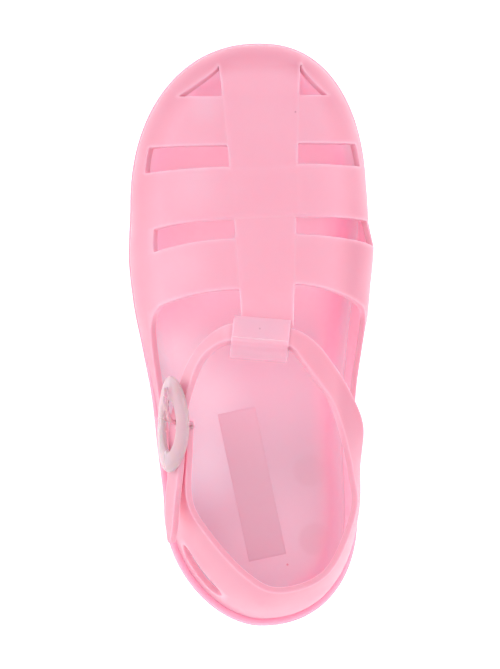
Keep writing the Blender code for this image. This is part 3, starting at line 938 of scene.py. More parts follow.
    def in_gap(self, step: float) -> float:
        """How freely the spine's edge stands at a step.

        Args:
            step: Row of the strap table; past the last one the spine runs on to the keeper.

        Returns:
            1 in the gaps, 0 where a strap grows out of the spine.
        """
        last = len(self.edges) - 1
        if step >= last:
            tail = self.edges[last].spine_medial - self.spine_end_medial
            return ease((step - last) * tail / self.gap_ramp)
        row = int(step)
        return 0.0 if row in self.straps else ease(self.inside(step, row) / self.gap_ramp)

    def spine_point(self, step: float, share: float) -> Vector:
        """Point of the spine, which stands proud of the straps but for the one that crosses over it.

        Args:
            step: Row of the strap table; past the last one the spine runs on to the keeper.
            share: 0 at the lateral edge, 1 at the medial edge.

        Returns:
            The point in mm.
        """
        ends = []
        last = len(self.edges) - 1
        for side in Side:
            along = self.edge_value("spine", side, min(step, last))
            end = mix(along, self.by_side("spine_end", side), max(step - last, 0.0))
            ends.append(self.spine_edge(side, end))
        point = mix(ends[0], ends[1], share)
        inside = min(share, 1 - share) * (ends[1] - ends[0]).length
        over = self.over(step)
        stand = max(ease(inside / self.spine_step), over, self.in_gap(step))
        proud = (self.spine_proud * stand + self.over_proud * over) * ease(step)
        point.z += self.spine_crown * 4 * share * (1 - share) + proud
        return point

    def spine_share(self, u: float) -> float:
        """Columns of the spine, the outer ones drawn to its edges to hold their step.

        Args:
            u: Share of the columns.

        Returns:
            Share of the spine's width.
        """
        columns, close = self.mesh.spine, len(self.spine_columns)
        width = self.spine_medial[1] - self.spine_lateral[1]
        k = round(u * columns)
        if k < close:
            return self.spine_columns[k] / width
        if k > columns - close:
            return 1 - self.spine_columns[columns - k] / width
        margin = self.spine_columns[-1] / width
        return mix(margin, 1 - margin, (k - close + 1) / (columns - 2 * close + 2))

    def rib(self, side: Side, step: float, t: float) -> Vector:
        """Point of the wall between the rim and the spine.

        Args:
            side: Side of the shoe.
            step: Row of the strap table, or a place between two.
            t: 0 on the rim, 1 at the spine.

        Returns:
            The point in mm.
        """
        place = self.last.place_at(side, self.edge_value("rim", side, step))
        foot = self.base(side, place)
        top = self.spine_edge(side, self.edge_value("spine", side, step))
        inset, rise = self.rib_share(side, t, step)
        follow = mix(inset, rise, min(step, 1.0))
        swell = -self.edge_value("swell", side, step) * 4 * rise * (1 - rise)
        out = self.last.inward(side, place) * swell
        plan = Vector((mix(foot.x, top.x, inset), mix(foot.y, top.y, follow))) + out
        proud = self.over(step) * (self.spine_proud + self.over_proud) * ease(2 * t - 1)
        return Vector((plan.x, plan.y, mix(foot.z, top.z, rise) + proud))

    def band_top(self, side: Side, step: float) -> float:
        """The t of rib() where the band under the gaps ends; in front of the first strap it closes up.

        Args:
            side: Side of the shoe.
            step: Row of the strap table, or a place between two.

        Returns:
            The t, from 0 to 1.
        """
        if step < 1:
            return mix(1.0, self.band_top(side, 1.0), step**self.toe_hole_bow)
        place = self.last.place_at(side, self.edge_value("rim", side, step))
        foot = self.base(side, place)
        top = self.spine_edge(side, self.edge_value("spine", side, step))
        share = self.edge_value("band", side, step) / (top.xy - foot.xy).length
        low, high = 0.0, 1.0
        for _ in range(SEARCH_TURNS):
            middle = (low + high) / 2
            low, high = (middle, high) if self.rib_share(side, middle)[0] < share else (low, middle)
        return low

    def toe_front(self, share: float, t: float) -> Vector:
        """Point of the toe band in front of the spine.

        Args:
            share: 0 at the spine's lateral edge, 1 at the medial one.
            t: 0 on the rim, 1 at the spine.

        Returns:
            The point in mm.
        """
        away = [3 - self.last.place_at(side, self.edge_value("rim", side, 0)) for side in Side]
        turn = mix(-away[0], away[1], share)
        foot = self.base(Side.LATERAL if turn < 0 else Side.MEDIAL, 3 - abs(turn))
        top = self.spine_point(0, share)
        inset, rise = self.rib_share(Side.LATERAL, t, 0)
        return Vector((mix(foot.x, top.x, inset), mix(foot.y, top.y, inset), mix(foot.z, top.z, rise)))

    def counter(self, column: float, t: float) -> Vector:
        """Point of the heel counter.

        Args:
            column: Row of the post table, or a place between two.
            t: 0 on the rim, 1 at the collar.

        Returns:
            The point in mm.
        """
        rows = [
            Vector((post.side.value * self.last.place_at(post.side, post.rim_along), post.swell, 0.0))
            for post in self.posts
        ]
        tops = [Vector((post.across, post.along, post.height)) for post in self.posts]
        row = through(rows, column)
        side = Side.LATERAL if row.x < 0 else Side.MEDIAL
        point = mix(self.base(side, abs(row.x)), through(tops, column), t)
        out = self.last.inward(side, abs(row.x)) * -row.y * 4 * t * (1 - t)
        return Vector((point.x + out.x, point.y + out.y, point.z))

    def arch_wall(self, side: Side, share: float, level: float) -> Vector:
        """Point of the low wall between the last strap and the heel counter.

        Args:
            side: Side of the shoe.
            share: 0 at the last strap, 1 at the counter.
            level: 0 on the rim, 1 at the top of the wall.

        Returns:
            The point in mm.
        """
        last = len(self.edges) - 1
        column = 0 if side is Side.LATERAL else len(self.posts) - 1
        front = self.last.place_at(side, self.edge_value("rim", side, last))
        back = self.last.place_at(side, self.posts[column].rim_along)
        ahead = self.from_foot(self.rib(side, last, level * self.band_top(side, last)), side, front)
        behind = self.from_foot(self.counter(column, level * self.low_wall_share), side, back)
        offset = mix(ahead, behind, 1 - (1 - share) ** self.arch_bow)
        place = mix(front, back, share)
        foot, inner = self.base(side, place), self.last.inward(side, place)
        plan = inner * offset.x + Vector((-inner.y, inner.x)) * offset.y
        return foot + Vector((plan.x, plan.y, offset.z))

    def from_foot(self, point: Vector, side: Side, place: float) -> Vector:
        """A point as distances from the foot of the wall.

        Args:
            point: The point in mm.
            side: Side of the shoe.
            place: Place of the last's outline where the foot is.

        Returns:
            The distances inward, forward and up.
        """
        foot, inner = self.base(side, place), self.last.inward(side, place)
        offset = point - foot
        return Vector((offset.xy.dot(inner), offset.xy.dot(Vector((-inner.y, inner.x))), offset.z))

    def tab(self, share: float, drop: float) -> Vector:
        """Point of the buckle tab, from the collar to the knuckle; drop 0 is its upper edge."""
        start = self.counter(0, mix(1.0, self.collar_band_share, drop))
        return mix(start, mix(Vector(self.tab_end_upper), Vector(self.tab_end_lower), drop), share)

    def strap_rows(self) -> tuple[list[Vector], list[Vector]]:
        """Edges of the ankle strap, from the collar to its free end.

        Returns:
            The points of the upper edge and those of the lower edge, in mm.
        """
        column = len(self.posts) - 1
        uppers = [self.counter(column, 1.0)] + [Vector(row.upper) for row in self.ankle]
        lowers = [self.counter(column, self.collar_band_share)] + [Vector(row.lower) for row in self.ankle]
        return uppers, lowers

    def ankle_strap(self, share: float, drop: float) -> Vector:
        """Point of the ankle strap.

        Args:
            share: 0 at the collar, 1 at the free end.
            drop: 0 at the upper edge, 1 at the lower edge.

        Returns:
            The point in mm.
        """
        uppers, lowers = self.strap_rows()
        place = share * (len(uppers) - 1)
        start = self.counter(len(self.posts) - 1, mix(1.0, self.collar_band_share, drop))
        swell = start - mix(uppers[0], lowers[0], drop)
        return mix(through(uppers, place), through(lowers, place), drop) + swell * max(0.0, 1 - place)

    def strap_frame(self, row: int, turn: float = 1.0) -> Matrix:
        """Local frame of the ankle strap at a table row: x to the free end, y to the upper edge, z out.

        Args:
            row: Row of the strap's table.
            turn: Share of the strap's turn in plan that the frame follows.

        Returns:
            The frame's matrix.
        """
        uppers, lowers = self.strap_rows()
        middles = [(a + b) / 2 for a, b in zip(uppers, lowers)]
        at = row + 1
        ahead = middles[at + 1] - middles[at - 1]
        ahead.x *= turn
        return local_frame(middles[at], ahead, uppers[at] - lowers[at])

    def steps_for(self, start: Vector, end: Vector) -> int:
        """Faces that a run of this length gets."""
        return max(self.mesh.least, round((end - start).length / self.mesh.spacing))

    def strap_columns(self, i: int) -> int:
        """Faces between an edge of the strap table and the next one.

        Args:
            i: Row of the table.

        Returns:
            The number of faces.
        """
        if i == 0:
            return self.mesh.toe
        runs = [(self.rib(side, i, t), self.rib(side, i + 1, t)) for side in Side for t in (0.0, 1.0)]
        return max(self.steps_for(*run) for run in runs)

    def post_columns(self, i: int) -> int:
        """Faces between a post of the heel counter and the next one."""
        return self.steps_for(self.counter(i, 0.0), self.counter(i + 1, 0.0))

    def cage_patches(self) -> list[bpy.types.Object]:
        """The patches of the toe band, straps, spine and low side walls.

        Returns:
            One object a patch.
        """
        mesh, last, patches = self.mesh, len(self.edges) - 1, []

        def lay(name: str, columns: int, rows: int, point: PatchPoint) -> None:
            """Adds a patch."""
            patches.append(grid_patch(name, columns, rows, point))

        for side in Side:
            band = lru_cache(None)(partial(self.band_top, side))
            for i in range(last):
                columns = self.strap_columns(i)
                lay("band", columns, mesh.band, lambda u, v: self.rib(side, i + u, v * band(i + u)))
                if i not in self.straps:
                    continue
                rows = mesh.strap
                lay("strap", columns, rows, lambda u, v: self.rib(side, i + u, mix(band(i + u), 1.0, v)))
            lay("arch", mesh.arch, mesh.band, lambda u, v: self.arch_wall(side, u, v))
        for i in range(last + 1):
            rows = mesh.tail if i == last else self.strap_columns(i)
            lay("spine", mesh.spine, rows, lambda u, v: self.spine_point(i + v, self.spine_share(u)))
        lay("toe", mesh.spine, mesh.band, lambda u, v: self.toe_front(self.spine_share(u), v))
        return patches

    def heel_patches(self) -> list[bpy.types.Object]:
        """The patches of the heel counter, buckle tab and ankle strap.

        Returns:
            One object a patch.
        """
        mesh, patches = self.mesh, []
        low, high = self.low_wall_share, self.collar_band_share
        for i in range(len(self.posts) - 1):
            columns = self.post_columns(i)
            start, rows = (self.window_share, mesh.over_window) if i in self.windows else (low, mesh.counter)
            foot, collar = ("foot", mesh.band, 0.0, low), ("collar", mesh.collar, high, 1.0)
            for name, count, bottom, top in (foot, ("wall", rows, start, high), collar):
                patches.append(
                    grid_patch(name, columns, count, lambda u, v: self.counter(i + u, mix(bottom, top, v)))
                )
        patches.append(grid_patch("tab", mesh.tab, mesh.collar, lambda u, v: self.tab(u, 1 - v)))
        patches.append(grid_patch("ankle", mesh.ankle, mesh.collar, lambda u, v: self.ankle_strap(u, 1 - v)))
        return patches

    def wide_corners(self) -> list[tuple[Vector, float]]:
        """Corners that the moulding rounds off widely.

        Returns:
            Each corner in mm, with its reach.
        """
        last, end = len(self.edges) - 1, len(self.posts) - 1
        low, high = self.low_wall_share, self.collar_band_share
        corners = []
        for side in Side:
            corners.append((self.rib(side, last, self.band_top(side, last)), self.strap_corner_reach))
        for column in (0, end):
            corners += [(self.counter(column, t), self.post_corner_reach) for t in (low, high)]
        for i in self.windows:
            ends = [self.counter(column, t) for column in (i, i + 1) for t in (low, self.window_share)]
            corners += [(point, self.window_corner_reach) for point in ends]
        return corners

    def round_corners(self, shell: bpy.types.Object) -> list[Vector]:
        """Rounds the corners of the free edges, some a little and some widely.

        Args:
            shell: The open middle surface.

        Returns:
            Points along every free edge, in metres.
        """
        bm = bmesh.new()
        bm.from_mesh(shell.data)
        rim = [vert for vert in bm.verts if vert.is_boundary]
        beside = {v: [e.other_vert(v) for e in v.link_edges if e.is_boundary] for v in rim}
        rim = [vert for vert in rim if len(beside[vert]) == 2]
        sharp = []
        for vert in rim:
            ends = beside[vert]
            if (ends[0].co - vert.co).angle(ends[1].co - vert.co) < math.radians(self.sharp_angle):
                sharp.append((vert.co.copy(), self.tight_reach * MM))
        wide = [(to_frame(point), reach * MM) for point, reach in self.wide_corners()]
        for corners, turns in ((sharp, self.tight_turns), (wide, self.wide_turns)):
            pull = {}
            for vert in rim:
                share = max(1 - (vert.co - corner).length / reach for corner, reach in corners)
                if share > 0:
                    pull[vert] = ease(share * 2) / 2
            for _ in range(turns):
                moved = {v: mix(v.co, (beside[v][0].co + beside[v][1].co) / 2, pull[v]) for v in pull}
                for vert, place in moved.items():
                    vert.co = place
        points = []
        for edge in bm.edges:
            if edge.is_boundary:
                ends = edge.verts[0].co, edge.verts[1].co
                points += [mix(*ends, share) for share in self.rim_shares]
        bm.to_mesh(shell.data)
        bm.free()
        return points

    def keeper(self) -> bpy.types.Object:
        """The keeper sleeve: a rounded block with a slot, and a roll along its heel side.

        Returns:
            The sleeve, in its place.
        """
        deselect()
        bpy.ops.mesh.primitive_cube_add(size=1.0)
        sleeve = bpy.context.object
        sleeve.name = "keeper"
        sleeve.scale = (self.keeper_length * MM, self.keeper_width * MM, self.keeper_thick * MM)
        bpy.ops.object.transform_apply(scale=True)
        bpy.ops.object.mode_set(mode="EDIT")
        for rolled, radius in ((True, self.keeper_roll_round), (False, self.keeper_round)):
            select_parts(sleeve, Parts.EDGES, lambda edge: self.is_long(edge, rolled))
            rounding = {"offset": radius * MM, "segments": self.keeper_segments}
            bpy.ops.mesh.bevel(affect="EDGES", clamp_overlap=False, **rounding)
        select_parts(sleeve, Parts.FACES, lambda face: abs(face.normal.x) > self.end_facing)
        bpy.ops.mesh.inset(thickness=self.keeper_wall * MM, use_individual=True)
        bpy.ops.mesh.bridge_edge_loops()
        bpy.ops.mesh.select_all(action="SELECT")
        split = (0.0, self.keeper_roll_from * MM, 0.0)
        bpy.ops.mesh.bisect(plane_co=split, plane_no=(0.0, 1.0, 0.0))
        select_parts(sleeve, Parts.FACES, self.is_roll)
        lift = {"value": (0.0, 0.0, self.keeper_roll_proud * MM)}
        bpy.ops.mesh.extrude_region_move(TRANSFORM_OT_translate=lift)
        bpy.ops.object.mode_set(mode="OBJECT")
        soften(sleeve, self.keeper_soften, ROUND_SEGMENTS, self.keeper_soften_angle)
        shift = Matrix.Translation((0.0, self.keeper_shift * MM, 0.0))
        settle(sleeve, self.strap_frame(self.keeper_row) @ shift)
        return sleeve

    def is_long(self, edge: bmesh.types.BMEdge, rolled: bool) -> bool:
        """Whether an edge is a long corner of the keeper's block.

        Args:
            edge: The edge.
            rolled: Asks for the corner of the roll, or else for one of the others.

        Returns:
            True if it is.
        """
        one, two = (vert.co for vert in edge.verts)
        size = (self.keeper_width * MM / 2, self.keeper_thick * MM / 2)
        corner = abs(abs(one.y) - size[0]) < SAME_PLACE and abs(abs(one.z) - size[1]) < SAME_PLACE
        along = (one - two).cross(Vector((1.0, 0.0, 0.0))).length < SAME_PLACE
        return corner and along and (one.y > 0 and one.z > 0) == rolled

    def is_roll(self, face: bmesh.types.BMFace) -> bool:
        """Whether a face of the keeper's block is the top of its roll.

        Args:
            face: The face.

        Returns:
            True if it is.
        """
        behind = face.calc_center_median().y > self.keeper_roll_from * MM
        outside = face.verts[0].co.z > self.keeper_thick * MM / 4
        return face.normal.z > self.top_facing and behind and outside

    def build(self, buckle: Buckle) -> bpy.types.Object:
        """Makes the whole upper.

        Args:
            buckle: The buckle, whose bar and prong the upper makes room for.

        Returns:
            The finished object.
        """
        shell = join("strap_upper", self.cage_patches() + self.heel_patches())
        merge(shell, SEAM_REACH)
        self.face_out(shell)
        rim = self.round_corners(shell)
        apply_modifier(shell, "SOLIDIFY", thickness=self.wall * MM, offset=0.0, use_even_offset=True)
        soften(shell, self.edge_round, ROUND_SEGMENTS, self.edge_angle)
        combine(shell, self.keeper(), Boolean.ADD)
        combine(shell, buckle.knuckle(), Boolean.ADD)
        combine(shell, buckle.holes(), Boolean.CUT)
        shade(shell, self.crease_angle)
        self.mark_skin(shell, rim)
        return shell

    def face_out(self, shell: bpy.types.Object) -> None:
        """Turns the open surface so that the top of the spine faces up.

        Args:
            shell: The open middle surface.
        """
        middle = to_frame(self.spine_point(self.over_strap, 0.5))
        top = min(shell.data.polygons, key=lambda face: (face.center - middle).length)
        if top.normal.z < 0:
            shell.data.flip_normals()

    def spine_lines(self) -> list[Vector]:
        """Points in plan along the steps between the spine and the straps, where a highlight line is painted.

        Returns:
            The points in metres, at height 0.
        """
        points = []
        for i in self.straps:
            front, back = self.strap_ends(i), self.strap_ends(i + 1)
            runs = (front, back) if i == self.over_strap else zip(front, back)
            shares = [k / self.line_points for k in range(self.line_points + 1)]
            points += [to_frame(mix(*run, share)) for run in runs for share in shares]
        return [Vector((point.x, point.y, 0.0)) for point in points]

    def mark_skin(self, shell: bpy.types.Object, rim: Sequence[Vector]) -> None:
        """Stores the painted highlight lines along the edges, the deeper colour, partly painted shade, and
        the inside of the walls, which is painted light.

        Args:
            shell: The finished upper.
            rim: Points along every free edge of its middle surface.
        """
        near_edge, near_line = nearest(rim), nearest(self.spine_lines())
        near_sole = nearest(self.last.edge_line())
        highlights, deeps, inners = [], [], []
        for vert in shell.data.vertices:
            flat = Vector((vert.co.x, vert.co.y, 0.0))
            away = near_edge(vert.co)[2] / MM - self.wall / 2
            # Painted highlight: a pale line along the free edges and, on top, along the spine's steps.
            line = 1 - ease(away / self.line_width)
            if vert.normal.z > self.top_facing:
                line = max(line, 1 - ease(near_line(flat)[2] / MM / self.line_width))
            highlights.append(line * self.line_strength)
            # Deeper pink near the sole: thicker plastic seen edge-on, and painted shade.
            far = near_sole(flat)[2] / MM
            deep = 1 - ease((far - self.deep_from) / (self.deep_to - self.deep_from))
            deeps.append(max(deep, self.deep_behind(flat)))
            # Painted light: the inside of the walls gets a paler colour and a glow against its shade.
            inners.append(self.faces_foot(flat, vert.normal) if vert.co.z / MM < self.inner_below else 0.0)
        store(shell, Region.EDGE, highlights)
        store(shell, Region.DEEP, deeps)
        store(shell, Region.INNER, inners)

    def faces_foot(self, flat: Vector, normal: Vector) -> float:
        """How far a skin turns to the foot: the inside of the walls, where light is painted, not the straps
        over the instep.

        Args:
            flat: Place of the skin in plan, in metres.
            normal: Its outward direction.

        Returns:
            A share from 0 to 1.
        """
        along = flat.y / MM + BOX_MID_ALONG
        middle = to_frame(Vector((self.foot_middle, min(max(along, self.foot_back), self.foot_front), 0.0)))
        inward = Vector((middle.x - flat.x, middle.y - flat.y, 0.0))
        clear = ease((inward.length / MM - self.foot_half) / self.foot_fade)
        behind = ease((self.inner_front - along) / self.inner_fade)
        turned = ease((normal.dot(inward.normalized()) - self.turned_from) / self.turned_fade)
        upright = ease((self.level_from - normal.z) / self.level_fade)
        return clear * behind * turned * upright

    def deep_behind(self, flat: Vector) -> float:
        """How deep the colour is behind the straps: some on the ankle strap, full at the heel.

        Args:
            flat: Place of the skin in plan, in metres.

        Returns:
            A share from 0 to 1.
        """
        along, across = flat.y / MM + BOX_MID_ALONG, flat.x / MM + BOX_MID_ACROSS
        strap = ease((self.keeper_along - along) / self.strap_fade) * self.strap_deep
        if along > self.keeper_along - self.keeper_width:
            strap *= ease((abs(across - self.keeper_across) - self.keeper_length / 2) / self.keeper_fade)
        return strap + self.heel_deep * ease((self.heel_deep_from - along) / self.heel_deep_fade)


@dataclass(frozen=True)
class Buckle:
    """Clear oval frame with its bar and prong, in the ankle strap's own directions."""

    upper: Upper
    row: int = 10
    turn: float = 0.5
    long: float = 36.2
    tall: float = 24.0
    thick: float = 2.8
    rim_front: float = 9.0
    rim_back: float = 7.6
    rim_side: float = 6.0
    puff: float = 0.8
    dish_upper: float = 2.2
    dish_lower: float = 1.0
    standoff: float = 1.7
    ring_columns: int = 112
    ring_rows: int = 28
    ring_reach: float = 0.01
    crease_angle: float = 50.0
    bar_radius: float = 0.7
    bar_depth: float = 3.3
    bar_half: float = 6.0
    bar_round: float = 1.2
    rod_sides: int = 32
    knuckle_radius: float = 1.75
    knuckle_half: float = 4.8
    knuckle_round: float = 0.5
    knuckle_round_angle: float = 40.0
    clearance: float = 0.3
    slot_room: float = 0.05
    leg_spare: float = 1.001
    hole_from: float = -2.0
    hole_to: float = 3.0
    prong_radius: float = 0.8
    prong_root: float = -0.6
    prong_tip: float = -14.0
    prong_rise: float = 1.9
    prong_knee: tuple[float, float] = (1.2, 3.4)
    prong_flat: float = 5.0
    prong_bend: float = 1.0
    prong_round: float = 0.35
    prong_round_angle: float = 60.0

    def place(self) -> Matrix:
        """Local frame of the buckle: the strap's own, but turned less in plan."""
        return self.upper.strap_frame(self.row, self.turn)

    def rod(self, name: str, start: Vector, end: Vector, radius: float) -> bpy.types.Object:
        """A cylinder between two points of the buckle's frame.

        Args:
            name: Name of the new object.
            start: Middle of one end in mm.
            end: Middle of the other end in mm.
            radius: Radius in mm.

        Returns:
            The cylinder, laid in place.
        """
        deselect()
        span = end - start
        bpy.ops.mesh.primitive_cylinder_add(
            vertices=self.rod_sides, radius=radius * MM, depth=span.length * MM
        )
        made = bpy.context.object
        made.name = name
        turn = span.to_track_quat("Z", "Y").to_matrix().to_4x4()
        settle(made, self.place() @ Matrix.Translation((start + end) / 2 * MM) @ turn)
        return made

    def knuckle(self) -> bpy.types.Object:
        """The round end of the tab that holds the bar.

        Returns:
            The knuckle, in place.
        """
        middle, half = Vector((0, 0, -self.bar_depth)), Vector((0, self.knuckle_half, 0))
        made = self.rod("knuckle", middle - half, middle + half, self.knuckle_radius)
        soften(made, self.knuckle_round, ROUND_SEGMENTS, self.knuckle_round_angle)
        return made

    def holes(self) -> bpy.types.Object:
        """Cutters for the bar's bore and the prong's hole.

        Returns:
            Both cutters as one object, in place.
        """
        room = self.bar_radius + self.slot_room
        ends = [Vector((0, y, z)) for y in (-self.bar_half, self.bar_half) for z in (-self.bar_depth, 0.0)]
        slot = self.rod("bore", ends[0], ends[2], room)
        for leg in (ends[:2], ends[2:]):
            combine(slot, self.rod("leg", *leg, room * self.leg_spare), Boolean.ADD)
        pin = [Vector((self.prong_root, 0, z)) for z in (self.hole_from, self.hole_to)]
        return join("holes", [slot, self.rod("hole", *pin, self.prong_radius + self.clearance)])

    def ring_point(self, u: float, v: float) -> Vector:
        """Point of the frame's skin.

        Args:
            u: Share of the way round the oval.
            v: Share of the way round its flattened, rounded section.

        Returns:
            The point in mm of the buckle's frame.
        """
        turn, around = 2 * math.pi * u, 2 * math.pi * v
        rim_end = self.rim_front if math.cos(turn) < 0 else self.rim_back
        half = mix(self.rim_side, rim_end, math.cos(turn) ** 2) / 2
        middle = Vector(((self.long / 2 - half) * math.cos(turn), (self.tall / 2 - half) * math.sin(turn)))
        out = Vector((math.cos(turn) / (self.long / 2), math.sin(turn) / (self.tall / 2))).normalized()
        side = math.copysign(abs(math.cos(around)) ** self.puff, math.cos(around)) * half
        up = math.copysign(abs(math.sin(around)) ** self.puff, math.sin(around)) * self.thick / 2
        plan = middle + out * side
        dish = self.dish_upper if plan.y > 0 else self.dish_lower
        drop = dish * (2 * plan.y / self.tall) ** 2
        return Vector((plan.x, plan.y, self.standoff + self.thick / 2 + up - drop))

    def build_frame(self) -> bpy.types.Object:
        """The oval frame joined to its bar.

        Returns:
            The finished object.
        """
        deselect()
        bpy.ops.mesh.primitive_grid_add(
            x_subdivisions=self.ring_columns, y_subdivisions=self.ring_rows, size=1.0
        )
        ring = bpy.context.object
        for vert in ring.data.vertices:
            vert.co = self.ring_point(vert.co.x + 0.5, vert.co.y + 0.5) * MM
        ring.name = ring.data.name = "clear_buckle"
        merge(ring, self.ring_reach)
        half, top, low = self.bar_half, self.standoff + self.thick / 2, -self.bar_depth
        corners = [(0, -half, top), (0, -half, low), (0, half, low), (0, half, top)]
        bar = tube("bar", rounded_path(corners, self.bar_round), self.bar_radius)
        combine(ring, bar, Boolean.ADD)
        # The bar below the frame gets a pinker tint, painted against the grey of its shade.
        underside = self.standoff - self.dish_upper
        store(ring, Region.DEEP, [ease(underside - vert.co.z / MM) for vert in ring.data.vertices])
        settle(ring, self.place())
        shade(ring, self.crease_angle)
        return ring

    def build_prong(self) -> bpy.types.Object:
        """The prong, from the knuckle through the strap and over the frame's front.

        Returns:
            The finished object.
        """
        rest = self.standoff + self.thick + self.prong_radius + self.clearance
        lean, knee = self.prong_knee
        corners = (
            (self.prong_root, 0.0, self.knuckle_radius - self.bar_depth + self.clearance),
            (self.prong_root, 0.0, self.prong_rise),
            (self.prong_root - lean, 0.0, knee),
            (self.prong_tip + self.prong_flat, 0.0, rest),
            (self.prong_tip, 0.0, rest),
        )
        prong = tube("clear_prong", rounded_path(corners, self.prong_bend), self.prong_radius)
        soften(prong, self.prong_round, ROUND_SEGMENTS, self.prong_round_angle)
        settle(prong, self.place())
        shade(prong, self.crease_angle)
        return prong


@dataclass(frozen=True)
class Outsole:
    """The sole unit: footbed, rim, welt ledge, stepped side and ring lugs."""

    last: Last
    heel_columns: int = 44
    waist_columns: int = 64
    toe_columns: int = 60
    crease_angle: float = 35.0
    # Rings of the skin, from the underside up the side and down into the footbed
    under_shares: tuple[float, ...] = (0.85, 0.7, 0.52, 0.35, 0.17)
    under_edge: tuple[Ring, ...] = (
        Ring(3.0, 0.0),
        Ring(1.9, 0.2),
        Ring(0.9, 0.8),
        Ring(0.3, 1.6),
        Ring(0.0, 2.6),
    )
    side_steps: tuple[Ring, ...] = (
        Ring(0.0, 0.36),
        Ring(0.0, 0.48),
        Ring(0.12, 0.505),
        Ring(0.6, 0.53),
        Ring(0.9, 0.56),
        Ring(0.9, 0.66),
        Ring(0.6, 0.69),
        Ring(0.12, 0.715),
        Ring(0.0, 0.74),
    )
    rim_edge: tuple[Ring, ...] = (Ring(0.0, -0.7), Ring(0.1, -0.25), Ring(0.35, 0.0))
    wall_seat: float = 3.2
    seat_lip: float = 0.5
    bowl: tuple[Ring, ...] = (
        Ring(0.0, 1.0),
        Ring(0.7, 0.93),
        Ring(1.7, 0.7),
        Ring(2.8, 0.45),
        Ring(4.2, 0.25),
        Ring(5.8, 0.14),
    )
    bed_edge: Ring = Ring(8.0, 0.75)
    bed_inset: float = 13.0
    bed: tuple[Ring, ...] = (
        Ring(0.12, 0.45),
        Ring(0.3, 0.25),
        Ring(0.5, 0.1),
        Ring(0.7, 0.05),
        Ring(0.86, 0.0),
    )
    # Tread
    ring_middle: float = 6.5
    ring_half: float = 1.1
    ring_segments: int = 48
    groove_depth: float = 1.6
    groove_segments: int = 16
    groove_rings: int = 12
    lugs: tuple[Lug, ...] = (
        Lug(23.0, 57.5),
        Lug(25.0, 32.0),
        Lug(-14.0, 57.5),
        Lug(-11.0, 32.0),
        Lug(5.5, 44.0),
        Lug(-24.0, 126.0),
        Lug(1.0, 126.0),
        Lug(25.0, 126.0),
        Lug(-24.0, 163.0),
        Lug(1.0, 163.0),
        Lug(26.0, 163.0),
    )
    flex_grooves: tuple[float, ...] = (138.0, 144.5, 151.0)
    flex_reach: float = 30.0
    # Bare panel on the footbed
    panel_middle: tuple[float, float] = (1.6, 52.5)
    panel_size: tuple[float, float] = (14.2, 56.0)
    panel_turn: float = 12.0
    panel_faces: tuple[int, int] = (14, 56)
    panel_from: float = 40.0
    panel_proud: float = 0.25
    panel_sunk: float = 1.2
    panel_round: float = 0.12
    panel_round_segments: int = 2
    panel_round_angle: float = 50.0
    panel_border: float = 0.03
    # Colour of the skin: deeper colour with painted shade, and painted shade along the bed's medial border
    bed_skin: float = 1.0
    deep_fade: float = 1.5
    warm_from: float = 5.0
    warm_to: float = 18.0
    warm_across: float = 15.0
    warm_front: float = 180.0

    def columns(self) -> list[tuple[Side, float]]:
        """Places round the sole's edge, up the lateral side and back down the medial one.

        Returns:
            Each place with its side.
        """
        places = [k / self.heel_columns for k in range(self.heel_columns)]
        places += [1 + k / self.waist_columns for k in range(self.waist_columns)]
        places += [2 + k / self.toe_columns for k in range(self.toe_columns + 1)]
        lateral = [(Side.LATERAL, place) for place in places]
        return lateral + [(Side.MEDIAL, place) for place in places[-2:0:-1]]

    def height(self, column: str, add: float = 0.0) -> HeightAt:
        """Height function of a column of the level table."""
        return lambda along: self.last.level(column, along) + add

    def between(self, low: str, high: str, share: float) -> HeightAt:
        """Height function at a share of the way between two columns."""
        return lambda along: mix(self.last.level(low, along), self.last.level(high, along), share)

    def ring(self, inset: float, height: HeightAt) -> RingPoint:
        """A ring of the sole's skin at an inset from its edge."""
        return lambda side, place: self.last.rim_point(side, place, inset, height)

    def ledge_ring(self, extra: float, height: HeightAt) -> RingPoint:
        """A ring at a distance inside the ledge.

        Args:
            extra: The distance in mm.
            height: Height at a distance along the shoe.

        Returns:
            The ring.
        """

        def point(side: Side, place: float) -> Vector:
            """The ring's point at a place of the outline."""
            ledge = self.last.level("ledge", self.last.outline(side, place).y)
            return self.last.rim_point(side, place, ledge + extra, height)

        return point

    def inner_ring(self, inset: float, share: float, height: HeightAt) -> RingPoint:
        """A ring part of the way from an inset to the middle line.

        Args:
            inset: Distance inside the sole's edge in mm.
            share: Share of the way to the middle line.
            height: Height at a distance along the shoe.

        Returns:
            The ring.
        """

        def point(side: Side, place: float) -> Vector:
            """The ring's point at a place of the outline."""
            outer = self.last.rim_point(side, place, inset, height)
            plan = mix(outer, self.last.middle_point(side, place, height), share)
            return Vector((plan.x, plan.y, height(plan.y)))

        return point

    def middle_ring(self, height: HeightAt) -> RingPoint:
        """The ring that closes up on the middle line."""
        return lambda side, place: self.last.middle_point(side, place, height)

    def rings(self) -> list[RingPoint]:
        """The rings of the skin.

        Returns:
            The rings, from mid underside up the side to the middle of the footbed.
        """
        floor, rim, seat = self.height("floor"), self.height("rim"), self.wall_seat
        rings = [self.middle_ring(floor)]
        rings += [self.inner_ring(self.under_edge[0].inset, share, floor) for share in self.under_shares]
        rings += [self.ring(row.inset, self.height("floor", row.height)) for row in self.under_edge]
        rings += [self.ring(row.inset, self.between("floor", "rim", row.height)) for row in self.side_steps]
        rings += [self.ring(row.inset, self.height("rim", row.height)) for row in self.rim_edge]
        rings += [self.ledge_ring(extra, rim) for extra in (0.0, seat - self.seat_lip)]
        for row in self.bowl:
            rings.append(self.ledge_ring(seat + row.inset, self.between("footbed", "rim", row.height)))
        edge = self.bed_edge
        rings.append(self.ledge_ring(seat + edge.inset, self.height("footbed", edge.height)))
        for row in self.bed:
            rings.append(self.inner_ring(self.bed_inset, row.inset, self.height("footbed", row.height)))
        rings.append(self.middle_ring(self.height("footbed")))
        return rings

